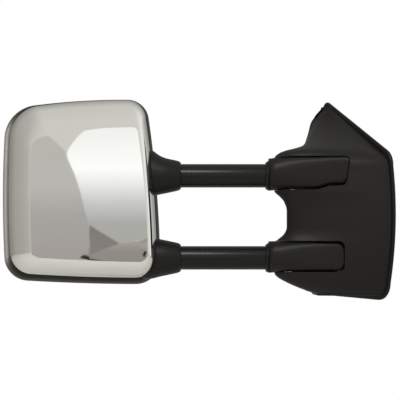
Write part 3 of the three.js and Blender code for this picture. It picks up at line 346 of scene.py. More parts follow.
def shell_row(z, share, height):
    """A level's section, drawn in towards its own middle, at a height of its own."""
    section = shell_section(z)
    middle = section.mean(axis=0)
    flat = middle + (section - middle) * share
    return np.column_stack([flat, np.full(len(flat), height)])


rows = [shell_row(z, 1, z) for z in shell_levels]
for turn in (30, 60, 90):
    rise = EDGE_ROUND * math.sin(math.radians(turn))
    drawn = 1 - 0.07 * (1 - math.cos(math.radians(turn)))
    rows.insert(0, shell_row(shell_levels[0], drawn, shell_levels[0] - rise))
    rows.append(shell_row(shell_levels[-1], drawn, shell_levels[-1] + rise))
for share in (0.5, 0.02):
    rows.insert(0, shell_row(shell_levels[0], share, shell_levels[0] - EDGE_ROUND))
    rows.append(shell_row(shell_levels[-1], share, shell_levels[-1] + EDGE_ROUND))
shell = sheet_through("shell_of_base", rows)
face_outwards(shell, (0, 0, 0))
SHELL_WALL = 3.0
THIN_OVER, THINNEST = 26.0, 0.12
walled = shell.vertex_groups.new(name="wall")
for vertex in shell.data.vertices:
    share = (shell_levels[-1] - 4 - vertex.co.z / MM) / THIN_OVER
    walled.add([vertex.index], min(1.0, max(THINNEST, share)), "REPLACE")
apply_modifier(shell, "SOLIDIFY", thickness=SHELL_WALL * MM, offset=-1, vertex_group="wall")


def prism(name, outline, low, high, axis):
    """An outline pushed from low to high: in plan along z, or in the front view (x, z) along y."""
    deselect()
    bpy.ops.mesh.primitive_circle_add(vertices=len(outline), radius=1, fill_type="NGON")
    piece = bpy.context.object
    piece.name = piece.data.name = name
    for vertex, (a, b) in zip(piece.data.vertices, outline):
        vertex.co = Vector((a, b, low) if axis == "z" else (a, low, b)) * MM
    bpy.ops.object.mode_set(mode="EDIT")
    bpy.ops.mesh.select_all(action="SELECT")
    push = (0, 0, (high - low) * MM) if axis == "z" else (0, (high - low) * MM, 0)
    bpy.ops.mesh.extrude_region_move(TRANSFORM_OT_translate={"value": push})
    bpy.ops.mesh.select_all(action="SELECT")
    bpy.ops.mesh.normals_make_consistent(inside=False)
    bpy.ops.object.mode_set(mode="OBJECT")
    return piece


def cut(piece, cutter, operation="DIFFERENCE"):
    apply_modifier(piece, "BOOLEAN", object=cutter, operation=operation, solver="EXACT")
    bpy.data.objects.remove(cutter, do_unlink=True)


# The arm covers' outlines in the front view: heel on the right, nose on the left.
COVERS = {
    "upper": {"z": UPPER_Z, "top": 27.0, "top_nose": 23.3, "bottom": -12.8, "mid": -18.4, "heel": 25.8,
              "round": (6, 8), "slope": 5.0},
    "lower": {"z": LOWER_Z, "top": 23.4, "top_nose": 22.6, "bottom": -18.6, "mid": -18.6, "heel": 17.6,
              "round": (9, 9), "slope": 0.0},
}
PLAY = 1.0
SLOT_GAP = 0.15
SWING_ROOM, FOLD = 23.0, 48.0
SLOT_BACK = -50.0


def heel_outline(arm, grow, play):
    x_heel, top, bottom = PIVOT[0] + arm["heel"] + play, arm["top"] + grow, arm["bottom"] - grow
    return rounded_polygon([(-90, bottom), (x_heel - arm["slope"], bottom), (x_heel, top), (-90, top)],
                           [0.5, arm["round"][1] + grow, arm["round"][0] + grow, 0.5], None, 14, 1)


def cover_edges(arm, reach):
    """The bottom and top of an arm's cover at a distance outboard of the pivot."""
    if reach >= 0:
        top = easing((0, arm["top"]), (ARM_REACH - 30, arm["top"]), (ARM_REACH, arm["top_nose"]))(reach)
        bottom = easing((0, arm["bottom"]), (22, arm["mid"]), (54, arm["mid"]), (ARM_REACH, -20.4))(reach)
        return bottom, top
    outline, heights = heel_outline(arm, 0, 0), []
    x = min(PIVOT[0] - reach, max(p[0] for p in outline) - 0.02)
    for a, b in zip(outline, outline[1:] + outline[:1]):
        if (a[0] - x) * (b[0] - x) <= 0 and a[0] != b[0]:
            heights.append(a[1] + (b[1] - a[1]) * (x - a[0]) / (b[0] - a[0]))
    return min(heights), max(heights)


def slot_outline(arm, grow):
    reaches = [100, *np.linspace(ARM_REACH, 4, 22)]
    edges = [(PIVOT[0] - r, *cover_edges(arm, min(r, ARM_REACH))) for r in reaches]
    below = [(x, arm["z"] + low - grow) for x, low, high in edges]
    above = [(x, arm["z"] + high + grow) for x, low, high in reversed(edges)]
    heel = [(x, arm["z"] + z) for x, z in heel_outline(arm, grow, PLAY) if x > PIVOT[0] + 1]
    return below + heel + above


def swing_form(arm, grow):
    """The space an arm sweeps as it folds, turned about the pivot."""
    reaches = [*np.linspace(0, ARM_REACH, 22), 260]
    profile = [(r, cover_edges(arm, min(r, ARM_REACH))[0] - grow) for r in reaches]
    profile += [(r, cover_edges(arm, min(r, ARM_REACH))[1] + grow) for r in reversed(reaches)]
    around = np.linspace(0, 2 * math.pi, 97)
    rows = [[(PIVOT[0] + r * math.cos(a), PIVOT[1] + r * math.sin(a), arm["z"] + z) for a in around]
            for r, z in profile]
    return sheet_through("swing_form", rows, closed=True)


def swing_outline(room, fold):
    """In plan, the room round the knuckle and along the folded arm."""
    folded = math.radians(180 - fold)
    way = np.array([math.cos(folded), math.sin(folded)])
    square = math.atan2(-way[0], way[1])
    arc = [np.array(PIVOT) + room * np.array([math.cos(a), math.sin(a)])
           for a in np.linspace(-0.4, square, 14)]
    mouth = SLOT_BACK - 0.5
    return [tuple(p) for p in [*arc, arc[-1] + way * 250, (-300, 250), (-300, mouth), (arc[0][0], mouth)]]


for arm in COVERS.values():
    cut(shell, prism("front_slot", slot_outline(arm, SLOT_GAP), -110, SLOT_BACK, "y"))
    swing = swing_form(arm, SLOT_GAP)
    face_outwards(swing, (*PIVOT, arm["z"]))
    swept = swing_outline(SWING_ROOM, FOLD)
    cut(swing, prism("swing_slot", swept, arm["z"] - 60, arm["z"] + 60, "z"), "INTERSECT")
    cut(shell, swing)
smooth(shell, 38)
settle(shell, textured_finish, "base", "textured_black", "base_shell")


# ---- Door gasket ----
# Black moulded rubber: a flat frame round the base that seals it on the paint, with its edges rounded over.
# It is drawn edge by edge from the door outwards, and the shell stands on it.
def gasket_edge(inset, off):
    edge = rounded_polygon(
        [(-75 + inset, -134 + inset), (93 - inset, -129 + inset), (90.2 - inset, 110.5 - 0.4 * inset),
         (64.6 - inset, 140.2 - 1.3 * inset), (-82 + inset, 64 - 1.4 * inset)],
        [max(r - inset / 2, 4) for r in (24, 12, 14, 7, 22)], [0, 0, 0, 0, 8], 10, 12)
    return [(*on_door(s, off), z) for s, z in edge + edge[:1]]


def turn_faces_out(piece):
    """For a closed piece: every face points outwards."""
    work_on(piece)
    bpy.ops.object.mode_set(mode="EDIT")
    bpy.ops.mesh.select_all(action="SELECT")
    bpy.ops.mesh.normals_make_consistent(inside=False)
    bpy.ops.object.mode_set(mode="OBJECT")


# (inset, height off the door): up the outer edge, across the top, down the inner edge, and back underneath
GASKET_SECTION = ((0.7, 0.02), (0.2, 0.3), (0.05, 1.0), (0.0, 2.2), (0.25, 3.4), (0.9, 4.2), (2.0, 4.5),
                  (15.0, 4.5), (15.7, 4.2), (16.0, 3.4), (16.0, 1.0), (15.6, 0.02), (0.7, 0.02))
gasket = sheet_through("gasket_frame", [gasket_edge(*point) for point in GASKET_SECTION], closed=True)
turn_faces_out(gasket)
smooth(gasket, 45)
settle(gasket, rubber_finish, "base", "rubber", "door_gasket")


# ---- Arm castings and their hardware ----
# Two black-coated castings fold on the pivot and grip the tubes. Nylon bushes line them, and set screws pinch
# the tubes.
# The castings keep their solids and take a coat that is a little smoother than the moulded plastic.
coat_finish = grain_on(new_finish("coated_casting", (0.02, 0.02, 0.02), 0.42, 0.0), 500, 0.1,
                       ((0.005, 0.005, 0.0048), (0.009, 0.0088, 0.0085)), rough=(0.36, 0.46))
coat_finish.node_tree.nodes["Principled BSDF"].inputs["Specular IOR Level"].default_value = 0.25
nylon_finish = grain_on(new_finish("white_nylon", (0.7, 0.68, 0.6), 0.4), 500, 0.04,
                        ((0.66, 0.64, 0.56), (0.76, 0.74, 0.67)), rough=(0.35, 0.48))
inner_finish = grain_on(new_finish("inner_plastic", (0.05, 0.05, 0.055), 0.55), 900, 0.06,
                        ((0.035, 0.035, 0.04), (0.06, 0.06, 0.065)), rough=(0.5, 0.62))


def soften(piece, width, degrees=40, segments=3):
    """Rounds every edge sharper than an angle, to a width in mm."""
    apply_modifier(piece, "BEVEL", width=width * MM, segments=segments, limit_method="ANGLE",
                   angle_limit=math.radians(degrees))


for side in ("upper", "lower"):
    casting = copy_of(f"{side}_arm", f"{side}_casting")
    soften(casting, 0.8, 38)
    smooth(casting, 35)
    settle(casting, coat_finish, "arms", "coated_casting", f"{side}_arm")
    give(nylon_finish, f"{side}_pivot_bush", f"{side}_inner_bush", f"{side}_outer_bush")
    give(steel_finish, f"{side}_clamp_screw_1", f"{side}_clamp_screw_2")
    give(inner_finish, f"{side}_tube_stop")


# ---- Arm covers ----
# Snap-on covers of the same textured plastic hide the castings from the front: round at the tube, flat-faced
# at the heel, where they lie flush in the shell. Each is drawn section by section along the arm, then trimmed
# behind.
COVER_WALL = 2.6
NOSE_ROUND, NOSE_FALL = 9.0, 4.6
COVER_BACK = -50.0
cover_face = easing((0, 25.0), (ARM_REACH - 20, 24.2), (ARM_REACH, 21.6))


def cover_section(arm, reach, drawn=0.0):
    """Half a superellipse across the arm, from its top edge round its face to its bottom edge."""
    bottom, top = cover_edges(arm, reach)
    power = easing((-arm["heel"], 7), (20, 5), (ARM_REACH - 25, 2.9), (ARM_REACH, 2.2))(reach)
    half = (top - bottom) / 2 - drawn
    points = []
    for angle in np.linspace(math.radians(38), math.radians(322), 56):
        c, s = -math.sin(angle), math.cos(angle)
        depth = (cover_face(reach) - drawn) if c < 0 else 20.5 - drawn
        y = math.copysign(depth * abs(c) ** (2 / power), c)
        z = (top + bottom) / 2 + math.copysign(half * abs(s) ** (2 / power), s)
        points.append((PIVOT[0] - reach, TUBE_Y + y, arm["z"] + z))
    return points


for side, arm in COVERS.items():
    heel = max(p[0] for p in heel_outline(arm, 0, 0)) - PIVOT[0]
    close = np.linspace(-heel + 0.01, -heel + 10, 16)
    reaches = sorted({*close, *np.linspace(-heel + 10, ARM_REACH - NOSE_ROUND, 30)})
    rows = [cover_section(arm, r) for r in reaches]
    for turn in np.linspace(0, 90, 10)[1:]:
        along, inwards = math.sin(math.radians(turn)), 1 - math.cos(math.radians(turn))
        rows.append(cover_section(arm, ARM_REACH - NOSE_ROUND * (1 - along), NOSE_FALL * inwards))
    rows.insert(0, cover_section(arm, 0.02 - heel, 0.8))
    cover = sheet_through(f"{side}_cover", rows)
    face_outwards(cover, (-80, TUBE_Y, arm["z"]))
    apply_modifier(cover, "SOLIDIFY", thickness=COVER_WALL * MM, offset=-1)
    behind = [(-150, COVER_BACK), (20, COVER_BACK), (20, 60), (-150, 60)]
    cut(cover, prism("trim", behind, arm["z"] - 60, arm["z"] + 60, "z"))
    smooth(cover, 40)
    settle(cover, textured_finish, "arms", "textured_black", f"{side}_arm_cover")


# ---- Tubes ----
# Two drawn steel tubes, 32 mm across with a 2 mm wall, satin black: the head slides on them.
# Each is a fine cylinder without its ends, given its wall and rounded lips.
tube_finish = grain_on(new_finish("satin_black_steel", (0.005, 0.005, 0.005), 0.28), 60, 0.01,
                       ((0.0035, 0.0035, 0.0035), (0.006, 0.006, 0.0058)), cloud=30, rough=(0.24, 0.32),
                       stretch=(0.4, 8, 8))
tube_finish.node_tree.nodes["Principled BSDF"].inputs["Specular IOR Level"].default_value = 0.26
TUBE_RADIUS, TUBE_WALL = 16.0, 2.0
for side in ("upper", "lower"):
    low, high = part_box(f"{side}_tube")
    middle = [(a + b) / 2 for a, b in zip(low, high)]
    deselect()
    bpy.ops.mesh.primitive_cylinder_add(vertices=96, radius=TUBE_RADIUS * MM, depth=high[0] - low[0],
                                        end_fill_type="NOTHING", location=middle,
                                        rotation=(0, math.pi / 2, 0))
    tube = bpy.context.object
    tube.name = tube.data.name = f"{side}_tube_drawn"
    bpy.ops.object.transform_apply(location=True, rotation=True, scale=True)
    face_outwards(tube, [v / MM for v in middle])
    apply_modifier(tube, "SOLIDIFY", thickness=TUBE_WALL * MM, offset=-1)
    soften(tube, 0.4, 40, 2)
    smooth(tube, 35)
    settle(tube, tube_finish, "arms", "coated_steel", f"{side}_tube")


# ---- Head carrier and glass drive ----
# Moulded carrier behind the tubes, and the actuator that turns the glass. All of it is hidden behind the
# glass, and the solids keep their shapes.
give(inner_finish, "head_carrier", "actuator_case", "actuator_lid", "spotter_post")
give(steel_finish, "carrier_screw_1", "carrier_screw_2", "carrier_screw_3", "carrier_screw_4", "pan_motor",
     "tilt_motor", "pan_jack", "tilt_jack", "main_gimbal", "spotter_gimbal")
give(nylon_finish, "pan_gear", "tilt_gear")


# ---- Rear housing ----
# Black moulded ring behind the plated cap: it flares out to the rim round the glass, with a bar between the
# two panes. Its wall is drawn as a strip of outlines, out over the rim and back in.
HEAD_RIGHT, HEAD_LEFT = -267.0, -485.5
HEAD_TOP, HEAD_BOTTOM = 143.0, -114.8
HEAD_LEAN, TOP_FALL, BOTTOM_RISE = 21.0, 11.8, 7.0
CAP_INSET = {"left": 13.0, "right": 3.2, "top": 3.2, "bottom": 11.0}
ROUNDING = {"left": 31.0, "right": 8.8, "top": 36.0, "bottom": 19.0}
HEAD_RADII = (34.0, 34.0, 30.0, 48.0)
SEAM_Y, RIM_Y, SHOULDER_Y, FRONT_Y = -7.0, 25.3, -50.0, -88.0


def insets(cap=0.0, rounding=0.0, wall=0.0):
    return {k: CAP_INSET[k] * cap + ROUNDING[k] * rounding + wall for k in CAP_INSET}


def head_outline(inset, tighten=0.0, arcs=14, sides=10):
    def right(z):
        return HEAD_RIGHT - inset["right"] - HEAD_LEAN * (z - HEAD_BOTTOM) / (HEAD_TOP - HEAD_BOTTOM)
    left, top, bottom = HEAD_LEFT + inset["left"], HEAD_TOP - inset["top"], HEAD_BOTTOM + inset["bottom"]
    corners = [(left, bottom + BOTTOM_RISE), (right(bottom), bottom), (right(top), top),
               (left, top - TOP_FALL)]
    radii = [max(r - tighten, 8) for r in HEAD_RADII]
    return np.array(rounded_polygon(corners, radii, [1, 3, 2, 2], arcs, sides))


def ring_row(outline, y):
    ring = np.vstack([outline, outline[:1]])
    depth = np.full(len(ring), y) if np.isscalar(y) else np.append(y, y[0])
    return np.column_stack([ring[:, 0], depth, ring[:, 1]])


flare = easing((SEAM_Y, 1.0), (SEAM_Y + 4, 0.66), (SEAM_Y + 8, 0.4), (SEAM_Y + 18, 0.12), (RIM_Y - 3, 0.0))
# (share of the cap's inset, wall, tighter corners, y): the lip inside the cap, then the seam
LIP_SECTION = ((1, 4.2, 8.2, SEAM_Y + 2.5), (1, 4.2, 8.2, SEAM_Y - 5.6), (1, 2.9, 6.9, SEAM_Y - 5.6),
               (1, 2.9, 6.9, SEAM_Y + 0.4), (1, 0.4, 4.4, SEAM_Y + 0.4), (1, 0.1, 4.1, SEAM_Y + 0.55))
flank = [(flare(y), 0, 4 * flare(y), y) for y in np.linspace(SEAM_Y + 1.0, RIM_Y - 3, 22)]
RIM_SECTION = ((0, 0.15, 0, RIM_Y - 1.0), (0, 0.7, 1, RIM_Y - 0.25), (0, 1.4, 1, RIM_Y),
               (0, 2.2, 2, RIM_Y - 0.3), (0, 2.6, 2.4, RIM_Y - 1.4))
inner_wall = [(flare(y), 2.2, 4 * flare(y) + 3.0, y) for y in np.linspace(RIM_Y - 3, SEAM_Y + 3.5, 12)]
strip = [*LIP_SECTION, *flank, *RIM_SECTION, *inner_wall, LIP_SECTION[0]]
housing = sheet_through("housing_of_head", [ring_row(head_outline(insets(share, 0, wall), tighter), y)
                                            for share, wall, tighter, y in strip], closed=True)
turn_faces_out(housing)

DIVIDER_Z, DIVIDER_HEIGHT, DIVIDER_DEPTH = -46.0, 8.0, 17.0
deselect()
bpy.ops.mesh.primitive_cube_add(size=1)
bar = bpy.context.object
left_end, right_end = HEAD_LEFT + 3.0, HEAD_RIGHT - 6.6
bar.scale = ((right_end - left_end) * MM, DIVIDER_DEPTH * MM, DIVIDER_HEIGHT * MM)
bar.location = ((right_end + left_end) / 2 * MM, 11.8 * MM, DIVIDER_Z * MM)
bpy.ops.object.transform_apply(location=True, rotation=True, scale=True)
soften(bar, 2.2, 40, 5)
work_on(housing)
bar.select_set(True)
bpy.ops.object.join()
smooth(housing, 38)
settle(housing, textured_finish, "head", "textured_black", "rear_housing")


# ---- Plated cap ----
# The front of the head, moulded in ABS and chrome plated: flat sides, a broad roll and a gently crowned face.
# It is one smooth sheet from its edge at the seam to the middle of its face, with a 2.4 mm wall.
chrome_finish = grain_on(new_finish("bright_chrome", (0.86, 0.85, 0.83), 0.035, 1.0), 40, 0.004,
                         ((0.84, 0.835, 0.82), (0.87, 0.865, 0.85)), rough=(0.02, 0.05))
CROWN, ROLL, CAP_WALL = 4.0, 0.56, 2.4
CAP_MIDDLE = (-380, -30, 15)
TUBE_HOLE = 20.3
face = head_outline(insets(1, 1), 22)
face_middle = (face.min(axis=0) + face.max(axis=0)) / 2
face_half = (face.max(axis=0) - face.min(axis=0)) / 2


def face_depth(points):
    return FRONT_Y + CROWN * (((points - face_middle) / face_half) ** 2).sum(axis=1)


def cap_form(grow=0.0):
    """Rows from the cap's edge at the seam to the middle of its face, grown outwards all over."""
    side = head_outline(insets(1, 0, -grow), 4 - grow)
    made = [ring_row(side, y) for y in np.linspace(SEAM_Y - 0.6, SHOULDER_Y, 7)]
    depth = face_depth(face)
    for point in bezier([(0, 0), (0, ROLL), (1 - ROLL, 1 - 0.17 * ROLL), (1, 1)], 26)[1:]:
        outline = head_outline(insets(1, point[0], -grow), 4 + 18 * point[0] - grow)
        made.append(ring_row(outline, SHOULDER_Y + (depth - grow - SHOULDER_Y) * point[1]))
    for share in [*np.linspace(0.96, 0.1, 22), 0.04, 0.0]:
        ring = face_middle + (face - face_middle) * share
        made.append(ring_row(ring, face_depth(ring) - grow))
    return made


def bore_along_x(radius, low, high, y, z, sides=64):
    deselect()
    bpy.ops.mesh.primitive_cylinder_add(vertices=sides, radius=radius * MM, depth=(high - low) * MM,
                                        location=((low + high) / 2 * MM, y * MM, z * MM),
                                        rotation=(0, math.pi / 2, 0))
    bpy.ops.object.transform_apply(location=True, rotation=True, scale=True)
    return bpy.context.object


cap_edge = [ring_row(head_outline(insets(1, 0, 1.2), 5.2), SEAM_Y - 0.3),
            ring_row(head_outline(insets(1, 0, 0.25), 4.3), SEAM_Y - 0.3)]
cap = sheet_through("plated_cap", cap_edge + cap_form(), closed=True)
face_outwards(cap, CAP_MIDDLE)
apply_modifier(cap, "SOLIDIFY", thickness=CAP_WALL * MM, offset=-1)
for z in (UPPER_Z, LOWER_Z):
    cut(cap, bore_along_x(TUBE_HOLE, -310, -250, TUBE_Y, z))
smooth(cap, 50)
settle(cap, chrome_finish, "head", "chrome", "chrome_cap")


# ---- Boots ----
# Black rubber boots where the tubes enter the head: a wiping lip on the tube, a tapered barrel, and a flare
# that lies on the head's side. Each is one profile spun round the tube, then leaned to follow the side.
BOOT_PROFILE = [
    (-292.0, 27.6), (-286.0, 27.3), (-281.0, 27.0), (-277.0, 26.4), (-273.0, 25.8), (-268.0, 25.0),
    (-262.0, 24.0), (-257.0, 23.0), (-252.5, 22.0), (-248.5, 21.2), (-245.5, 20.4), (-243.6, 19.7),
    (-242.2, 18.9), (-241.3, 18.1), (-241.0, 17.3), (-241.1, 16.7)]
BOOT_BORE, BOOT_NECK, BOOT_DEPTH = 16.35, 19.9, 24.2
BOOT_STEPS = 72
for side, z, top_flare, low_flare in (("upper", UPPER_Z, 8.0, 1.0), ("lower", LOWER_Z, 1.0, 1.5)):
    rows = [[(BOOT_PROFILE[0][0], TUBE_Y, z)] * (BOOT_STEPS + 1)]
    for x, radius in BOOT_PROFILE:
        opening = min(max((-259.0 - x) / 20.0, 0), 1) ** 2
        ring = []
        depth = min(radius, BOOT_DEPTH + 0.2 * (radius - BOOT_DEPTH))
        for k in range(BOOT_STEPS + 1):
            angle = 2 * math.pi * k / BOOT_STEPS
            up, out = math.cos(angle), math.sin(angle)
            flare_here = (top_flare if up > 0 else low_flare) * opening * abs(up)
            ring.append((x, TUBE_Y + depth * out, z + (radius + flare_here) * up))
        rows.append(ring)
    rows.append([(BOOT_PROFILE[-1][0], TUBE_Y, z)] * (BOOT_STEPS + 1))
    boot = sheet_through(f"{side}_boot_moulded", rows, closed=True)
    face_outwards(boot, (-262, TUBE_Y, z))
    grown = cap_form(0.35)
    back = [(face_middle[0], SEAM_Y - 0.6, face_middle[1])] * len(grown[0])
    head_form = sheet_through("head_form", [back, *grown], closed=True)
    face_outwards(head_form, CAP_MIDDLE)
    cut(boot, head_form)
    cut(boot, bore_along_x(BOOT_NECK, -282, -252, TUBE_Y, z), "UNION")
    cut(boot, bore_along_x(BOOT_BORE, -300, -230, TUBE_Y, z, 96))
    smooth(boot, 50)
    settle(boot, rubber_finish, "head", "rubber", f"{side}_boot")


# ---- The glasses and their backing plates ----
# Silvered panes in black moulded frames: a large flat one above, and a wide-angle spotter below.
# The frames keep their solids with softened edges; the panes are their solids with a ground edge.
glass_finish = new_finish("silvered_glass", (0.9, 0.92, 0.93), 0.012, 1.0)
for pane in ("main", "spotter"):
    plate = copy_of(f"{pane}_backing_plate", f"{pane}_frame")
    soften(plate, 0.5, 50)
    smooth(plate, 40)
    settle(plate, inner_finish, f"{pane}_glass", "inner_plastic", f"{pane}_backing_plate")
    glass = copy_of(f"{pane}_glass", f"{pane}_pane")
    soften(glass, 0.7, 50)
    smooth(glass, 30)
    settle(glass, glass_finish, f"{pane}_glass", "mirror", f"{pane}_glass")


# ---- Floor, light and camera ----
# A pale round floor below, a surround that is white to the camera and toned in reflections, two soft boxes,
# and a long lens level with the middle of the object. Six cards near the lens show only in reflections, and
# their shapes and tones are set for what the plated face mirrors from the front.
deselect()
bpy.ops.mesh.primitive_circle_add(vertices=96, radius=2.6, fill_type="NGON", location=(0, 0, -0.45))
floor = bpy.context.object
floor.name = "floor"
floor_finish = grain_on(new_finish("pale_floor", (0.9, 0.9, 0.9), 0.6), 200, 0.02,
                        ((0.7, 0.695, 0.68), (0.75, 0.745, 0.73)), rough=(0.55, 0.65))
floor.data.materials.append(floor_finish)

world = bpy.data.worlds.new("white_surround")
bpy.context.scene.world = world
bpy.context.scene.view_settings.view_transform = "Standard"
world.use_nodes = True
surround = world.node_tree
backdrop = surround.nodes["Background"]
backdrop.inputs["Color"].default_value = (1, 1, 1, 1)
way = surround.nodes.new("ShaderNodeTexCoord")
parts = surround.nodes.new("ShaderNodeSeparateXYZ")
surround.links.new(way.outputs["Generated"], parts.inputs["Vector"])


def tones_along(output, stops):
    """Grey tones by how far a direction points along one axis, from -1 to 1."""
    spread = surround.nodes.new("ShaderNodeMapRange")
    spread.inputs["From Min"].default_value = -1
    surround.links.new(parts.outputs[output], spread.inputs["Value"])
    ramp = surround.nodes.new("ShaderNodeValToRGB")
    for at, tone in stops[1:-1]:
        ramp.color_ramp.elements.new((at + 1) / 2)
    for element, (at, tone) in zip(ramp.color_ramp.elements, stops):
        element.position, element.color = (at + 1) / 2, (*tone, 1)
    surround.links.new(spread.outputs["Result"], ramp.inputs["Fac"])
    return ramp.outputs["Color"]


sideways = tones_along("X", [
    (-1, (0.42, 0.405, 0.37)), (-0.55, (0.5, 0.49, 0.455)), (-0.2, (0.7, 0.69, 0.64)),
    (0.3, (0.72, 0.71, 0.66)), (1, (0.95, 0.95, 0.93))])
upwards = tones_along("Z", [
    (-1, (0.75, 0.74, 0.72)), (-0.3, (0.85, 0.84, 0.82)), (0, (1, 1, 1)), (0.6, (1, 1, 1)),
    (1, (0.93, 0.93, 0.93))])
rearwards = tones_along("Y", [
    (-1, (1, 1, 1)), (0, (1, 1, 1)), (0.55, (0.72, 0.72, 0.72)), (1, (0.42, 0.42, 0.42))])
room = surround.nodes.new("ShaderNodeBackground")
tones = sideways
for more in (upwards, rearwards):
    both = surround.nodes.new("ShaderNodeMix")
    both.data_type, both.blend_type = "RGBA", "MULTIPLY"
    both.inputs["Factor"].default_value = 1
    surround.links.new(tones, both.inputs[6])
    surround.links.new(more, both.inputs[7])
    tones = both.outputs[2]
surround.links.new(tones, room.inputs["Color"])
seen = surround.nodes.new("ShaderNodeLightPath")
choice = surround.nodes.new("ShaderNodeMixShader")
surround.links.new(seen.outputs["Is Camera Ray"], choice.inputs["Fac"])
surround.links.new(room.outputs["Background"], choice.inputs[1])
surround.links.new(backdrop.outputs["Background"], choice.inputs[2])
surround.links.new(choice.outputs["Shader"], surround.nodes["World Output"].inputs["Surface"])

kept_out = bpy.data.collections.new("not_lit_by_the_key")
kept_out.objects.link(cap)
rim_only = bpy.data.collections.new("lit_by_the_edge_box")
rim_only.objects.link(housing)


def soft_box(name, place, aim, size, power, tint, chosen, state):
    light = bpy.data.lights.new(name, "AREA")
    light.shape = "RECTANGLE"
    light.size, light.size_y = size
    light.energy = power
    light.color = tint
    lamp = bpy.data.objects.new(name, light)
    bpy.context.collection.objects.link(lamp)
    lamp.location = place
    lamp.rotation_euler = (Vector(aim) - Vector(place)).to_track_quat("-Z", "Y").to_euler()
    lamp.light_linking.receiver_collection = chosen
    chosen.collection_objects[0].light_linking.link_state = state
    return lamp


soft_box("key", (-0.7, -1.7, 1.7), (-0.2, 0, 0), (1.2, 0.4), 26, (1, 0.98, 0.94), kept_out, "EXCLUDE")
soft_box("edge", (-2.0, 0.7, 0.1), (-0.4, 0, 0), (1.2, 1.4), 56, (1, 0.93, 0.84), rim_only, "INCLUDE")

EYE = Vector((-215.0, -4042.0, 2.7))


def card_point(x, z, card_y):
    """Where a card at card_y shows in the plated face at (x, z), in mm."""
    u, v = (x - face_middle[0]) / face_half[0], (z - face_middle[1]) / face_half[1]
    point = Vector((x, FRONT_Y + CROWN * (u * u + v * v), z))
    normal = Vector((2 * CROWN * u / face_half[0], -1, 2 * CROWN * v / face_half[1])).normalized()
    ray = (point - EYE).normalized().reflect(normal)
    hit = point + ray * ((card_y - point.y) / ray.y)
    return hit.x, hit.z


def light_card(name, outline, card_y, tones):
    """A card in the plane y = card_y, lit by tones at heights (on the face) from low to high."""
    deselect()
    bpy.ops.mesh.primitive_circle_add(vertices=len(outline), radius=1, fill_type="NGON")
    card = bpy.context.object
    card.name = name
    for vertex, (x, z) in zip(card.data.vertices, outline):
        across, up = card_point(x, z, card_y)
        vertex.co = Vector((across, card_y, up)) * MM
    finish = bpy.data.materials.new(name)
    finish.use_nodes = True
    tree = finish.node_tree
    tree.nodes.clear()
    glow = tree.nodes.new("ShaderNodeEmission")
    out = tree.nodes.new("ShaderNodeOutputMaterial")
    place = tree.nodes.new("ShaderNodeTexCoord")
    height = tree.nodes.new("ShaderNodeSeparateXYZ")
    spread = tree.nodes.new("ShaderNodeMapRange")
    ramp = tree.nodes.new("ShaderNodeValToRGB")
    low, high = (card_point(-390, z, card_y)[1] * MM for z in (tones[0][0], tones[-1][0]))
    spread.inputs["From Min"].default_value, spread.inputs["From Max"].default_value = low, high
    shares = [(card_point(-390, z, card_y)[1] * MM - low) / (high - low) for z, tone in tones]
    for share in shares[1:-1]:
        ramp.color_ramp.elements.new(share)
    for element, share, (z, tone) in zip(ramp.color_ramp.elements, shares, tones):
        element.position, element.color = share, (*tone, 1)
    tree.links.new(place.outputs["Object"], height.inputs["Vector"])
    tree.links.new(height.outputs["Z"], spread.inputs["Value"])
    tree.links.new(spread.outputs["Result"], ramp.inputs["Fac"])
    tree.links.new(ramp.outputs["Color"], glow.inputs["Color"])
    tree.links.new(glow.outputs["Emission"], out.inputs["Surface"])
    card.data.materials.append(finish)
    card.visible_camera = card.visible_diffuse = card.visible_shadow = False


def curve_through(points, steps=6):
    """A smooth line through the points, for the cards' rounded edges."""
    p = np.array([points[0], *points, points[-1]], float)
    line = []
    for a, b, c, d in zip(p, p[1:], p[2:], p[3:]):
        for t in np.arange(steps) / steps:
            line.append(tuple(b + 0.5 * t * (c - a) + t * t * (a - 2.5 * b + 2 * c - 0.5 * d)
                              + t ** 3 * (1.5 * (b - c) + 0.5 * (d - a))))
    return line + [tuple(points[-1])]


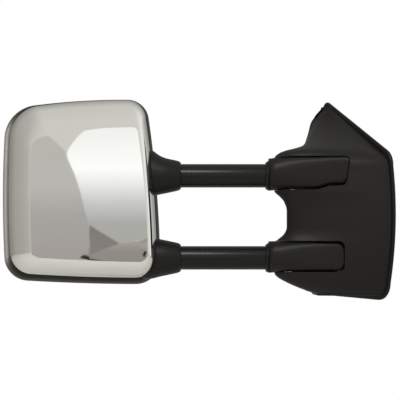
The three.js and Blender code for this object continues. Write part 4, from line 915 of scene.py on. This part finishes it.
LEAF_FRONT = curve_through([
    (-475, 58), (-469, 74), (-458, 85.5), (-443, 92.5), (-428, 92), (-416, 87), (-405, 78), (-394, 66.6),
    (-380, 47), (-373, 24.5), (-367, 2.7), (-362, -20), (-360, -45), (-360, -76)])
light_card("leaf_card", [(-475, -84), *LEAF_FRONT, (-376.7, -79), (-405, -84)], -1440, [
    (-80, (0.42, 0.39, 0.365)), (-20, (0.45, 0.435, 0.42)), (20, (0.55, 0.54, 0.52)),
    (90, (0.56, 0.555, 0.5))])
BRIGHT_FRONT = curve_through([
    (-363.5, -31), (-368.6, -17), (-374, 6), (-381, 30), (-390, 53), (-393.8, 66.6), (-386, 80),
    (-375, 92.5), (-362, 103), (-345, 113)])[:-1]
light_card("bright_card", [(-345, 113), (-286, 112), (-280, 60), (-274, 0), (-272, -47), (-284, -47.5),
                           (-322.3, -55.8), (-344, -43.5), *BRIGHT_FRONT], -1430, [
    (-45, (0.47, 0.47, 0.45)), (-28, (0.47, 0.475, 0.46)), (0, (0.68, 0.69, 0.68)), (22, (0.93, 0.94, 0.93)),
    (45, (1.15, 1.15, 1.13)), (100, (1.03, 1.03, 1.01))])
light_card("low_card", [(-363.5, -31), (-344, -43.5), (-322.3, -55.8), (-300, -52), (-284, -48), (-270, -44),
                        (-270, -84), (-322, -84), (-358, -78), (-366, -74), (-364.5, -60)], -1435, [
    (-82, (0.32, 0.3, 0.28)), (-66, (0.33, 0.31, 0.28)), (-56, (0.42, 0.4, 0.37)), (-46, (0.26, 0.245, 0.22)),
    (-31, (0.25, 0.235, 0.215))])
light_card("low_left_card", [(-363.5, -32), (-344, -44.5), (-323.5, -56.5), (-345, -64), (-362.5, -72)],
           -1425, [(-70, (0.27, 0.255, 0.24)), (-32, (0.24, 0.225, 0.205))])
light_card("dark_sliver", [(-377, -74.8), (-371, -71.4), (-366, -72.8), (-362, -76.8), (-341, -80.2),
                           (-286, -81.6), (-286, -83.4), (-341, -82.4), (-362, -79.6), (-373, -76.8)],
           -1420, [(-84, (0.01, 0.01, 0.01)), (-70, (0.012, 0.01, 0.01))])
light_card("dark_fleck", [(-292.5, -71), (-289.7, -66), (-286.3, -64.5), (-287.5, -70), (-290, -75)],
           -1420, [(-76, (0.01, 0.01, 0.01)), (-64, (0.012, 0.01, 0.01))])

VIEW_WIDTH = 0.544
DISTANCE = 4.0
lens = bpy.data.cameras.new("camera")
lens.sensor_width = 36
lens.lens = 36 * DISTANCE / VIEW_WIDTH
camera = bpy.data.objects.new("camera", lens)
bpy.context.collection.objects.link(camera)
camera.location = (-0.215, -0.042 - DISTANCE, 0.0027)
camera.rotation_euler = (math.pi / 2, 0, 0)
bpy.context.scene.camera = camera
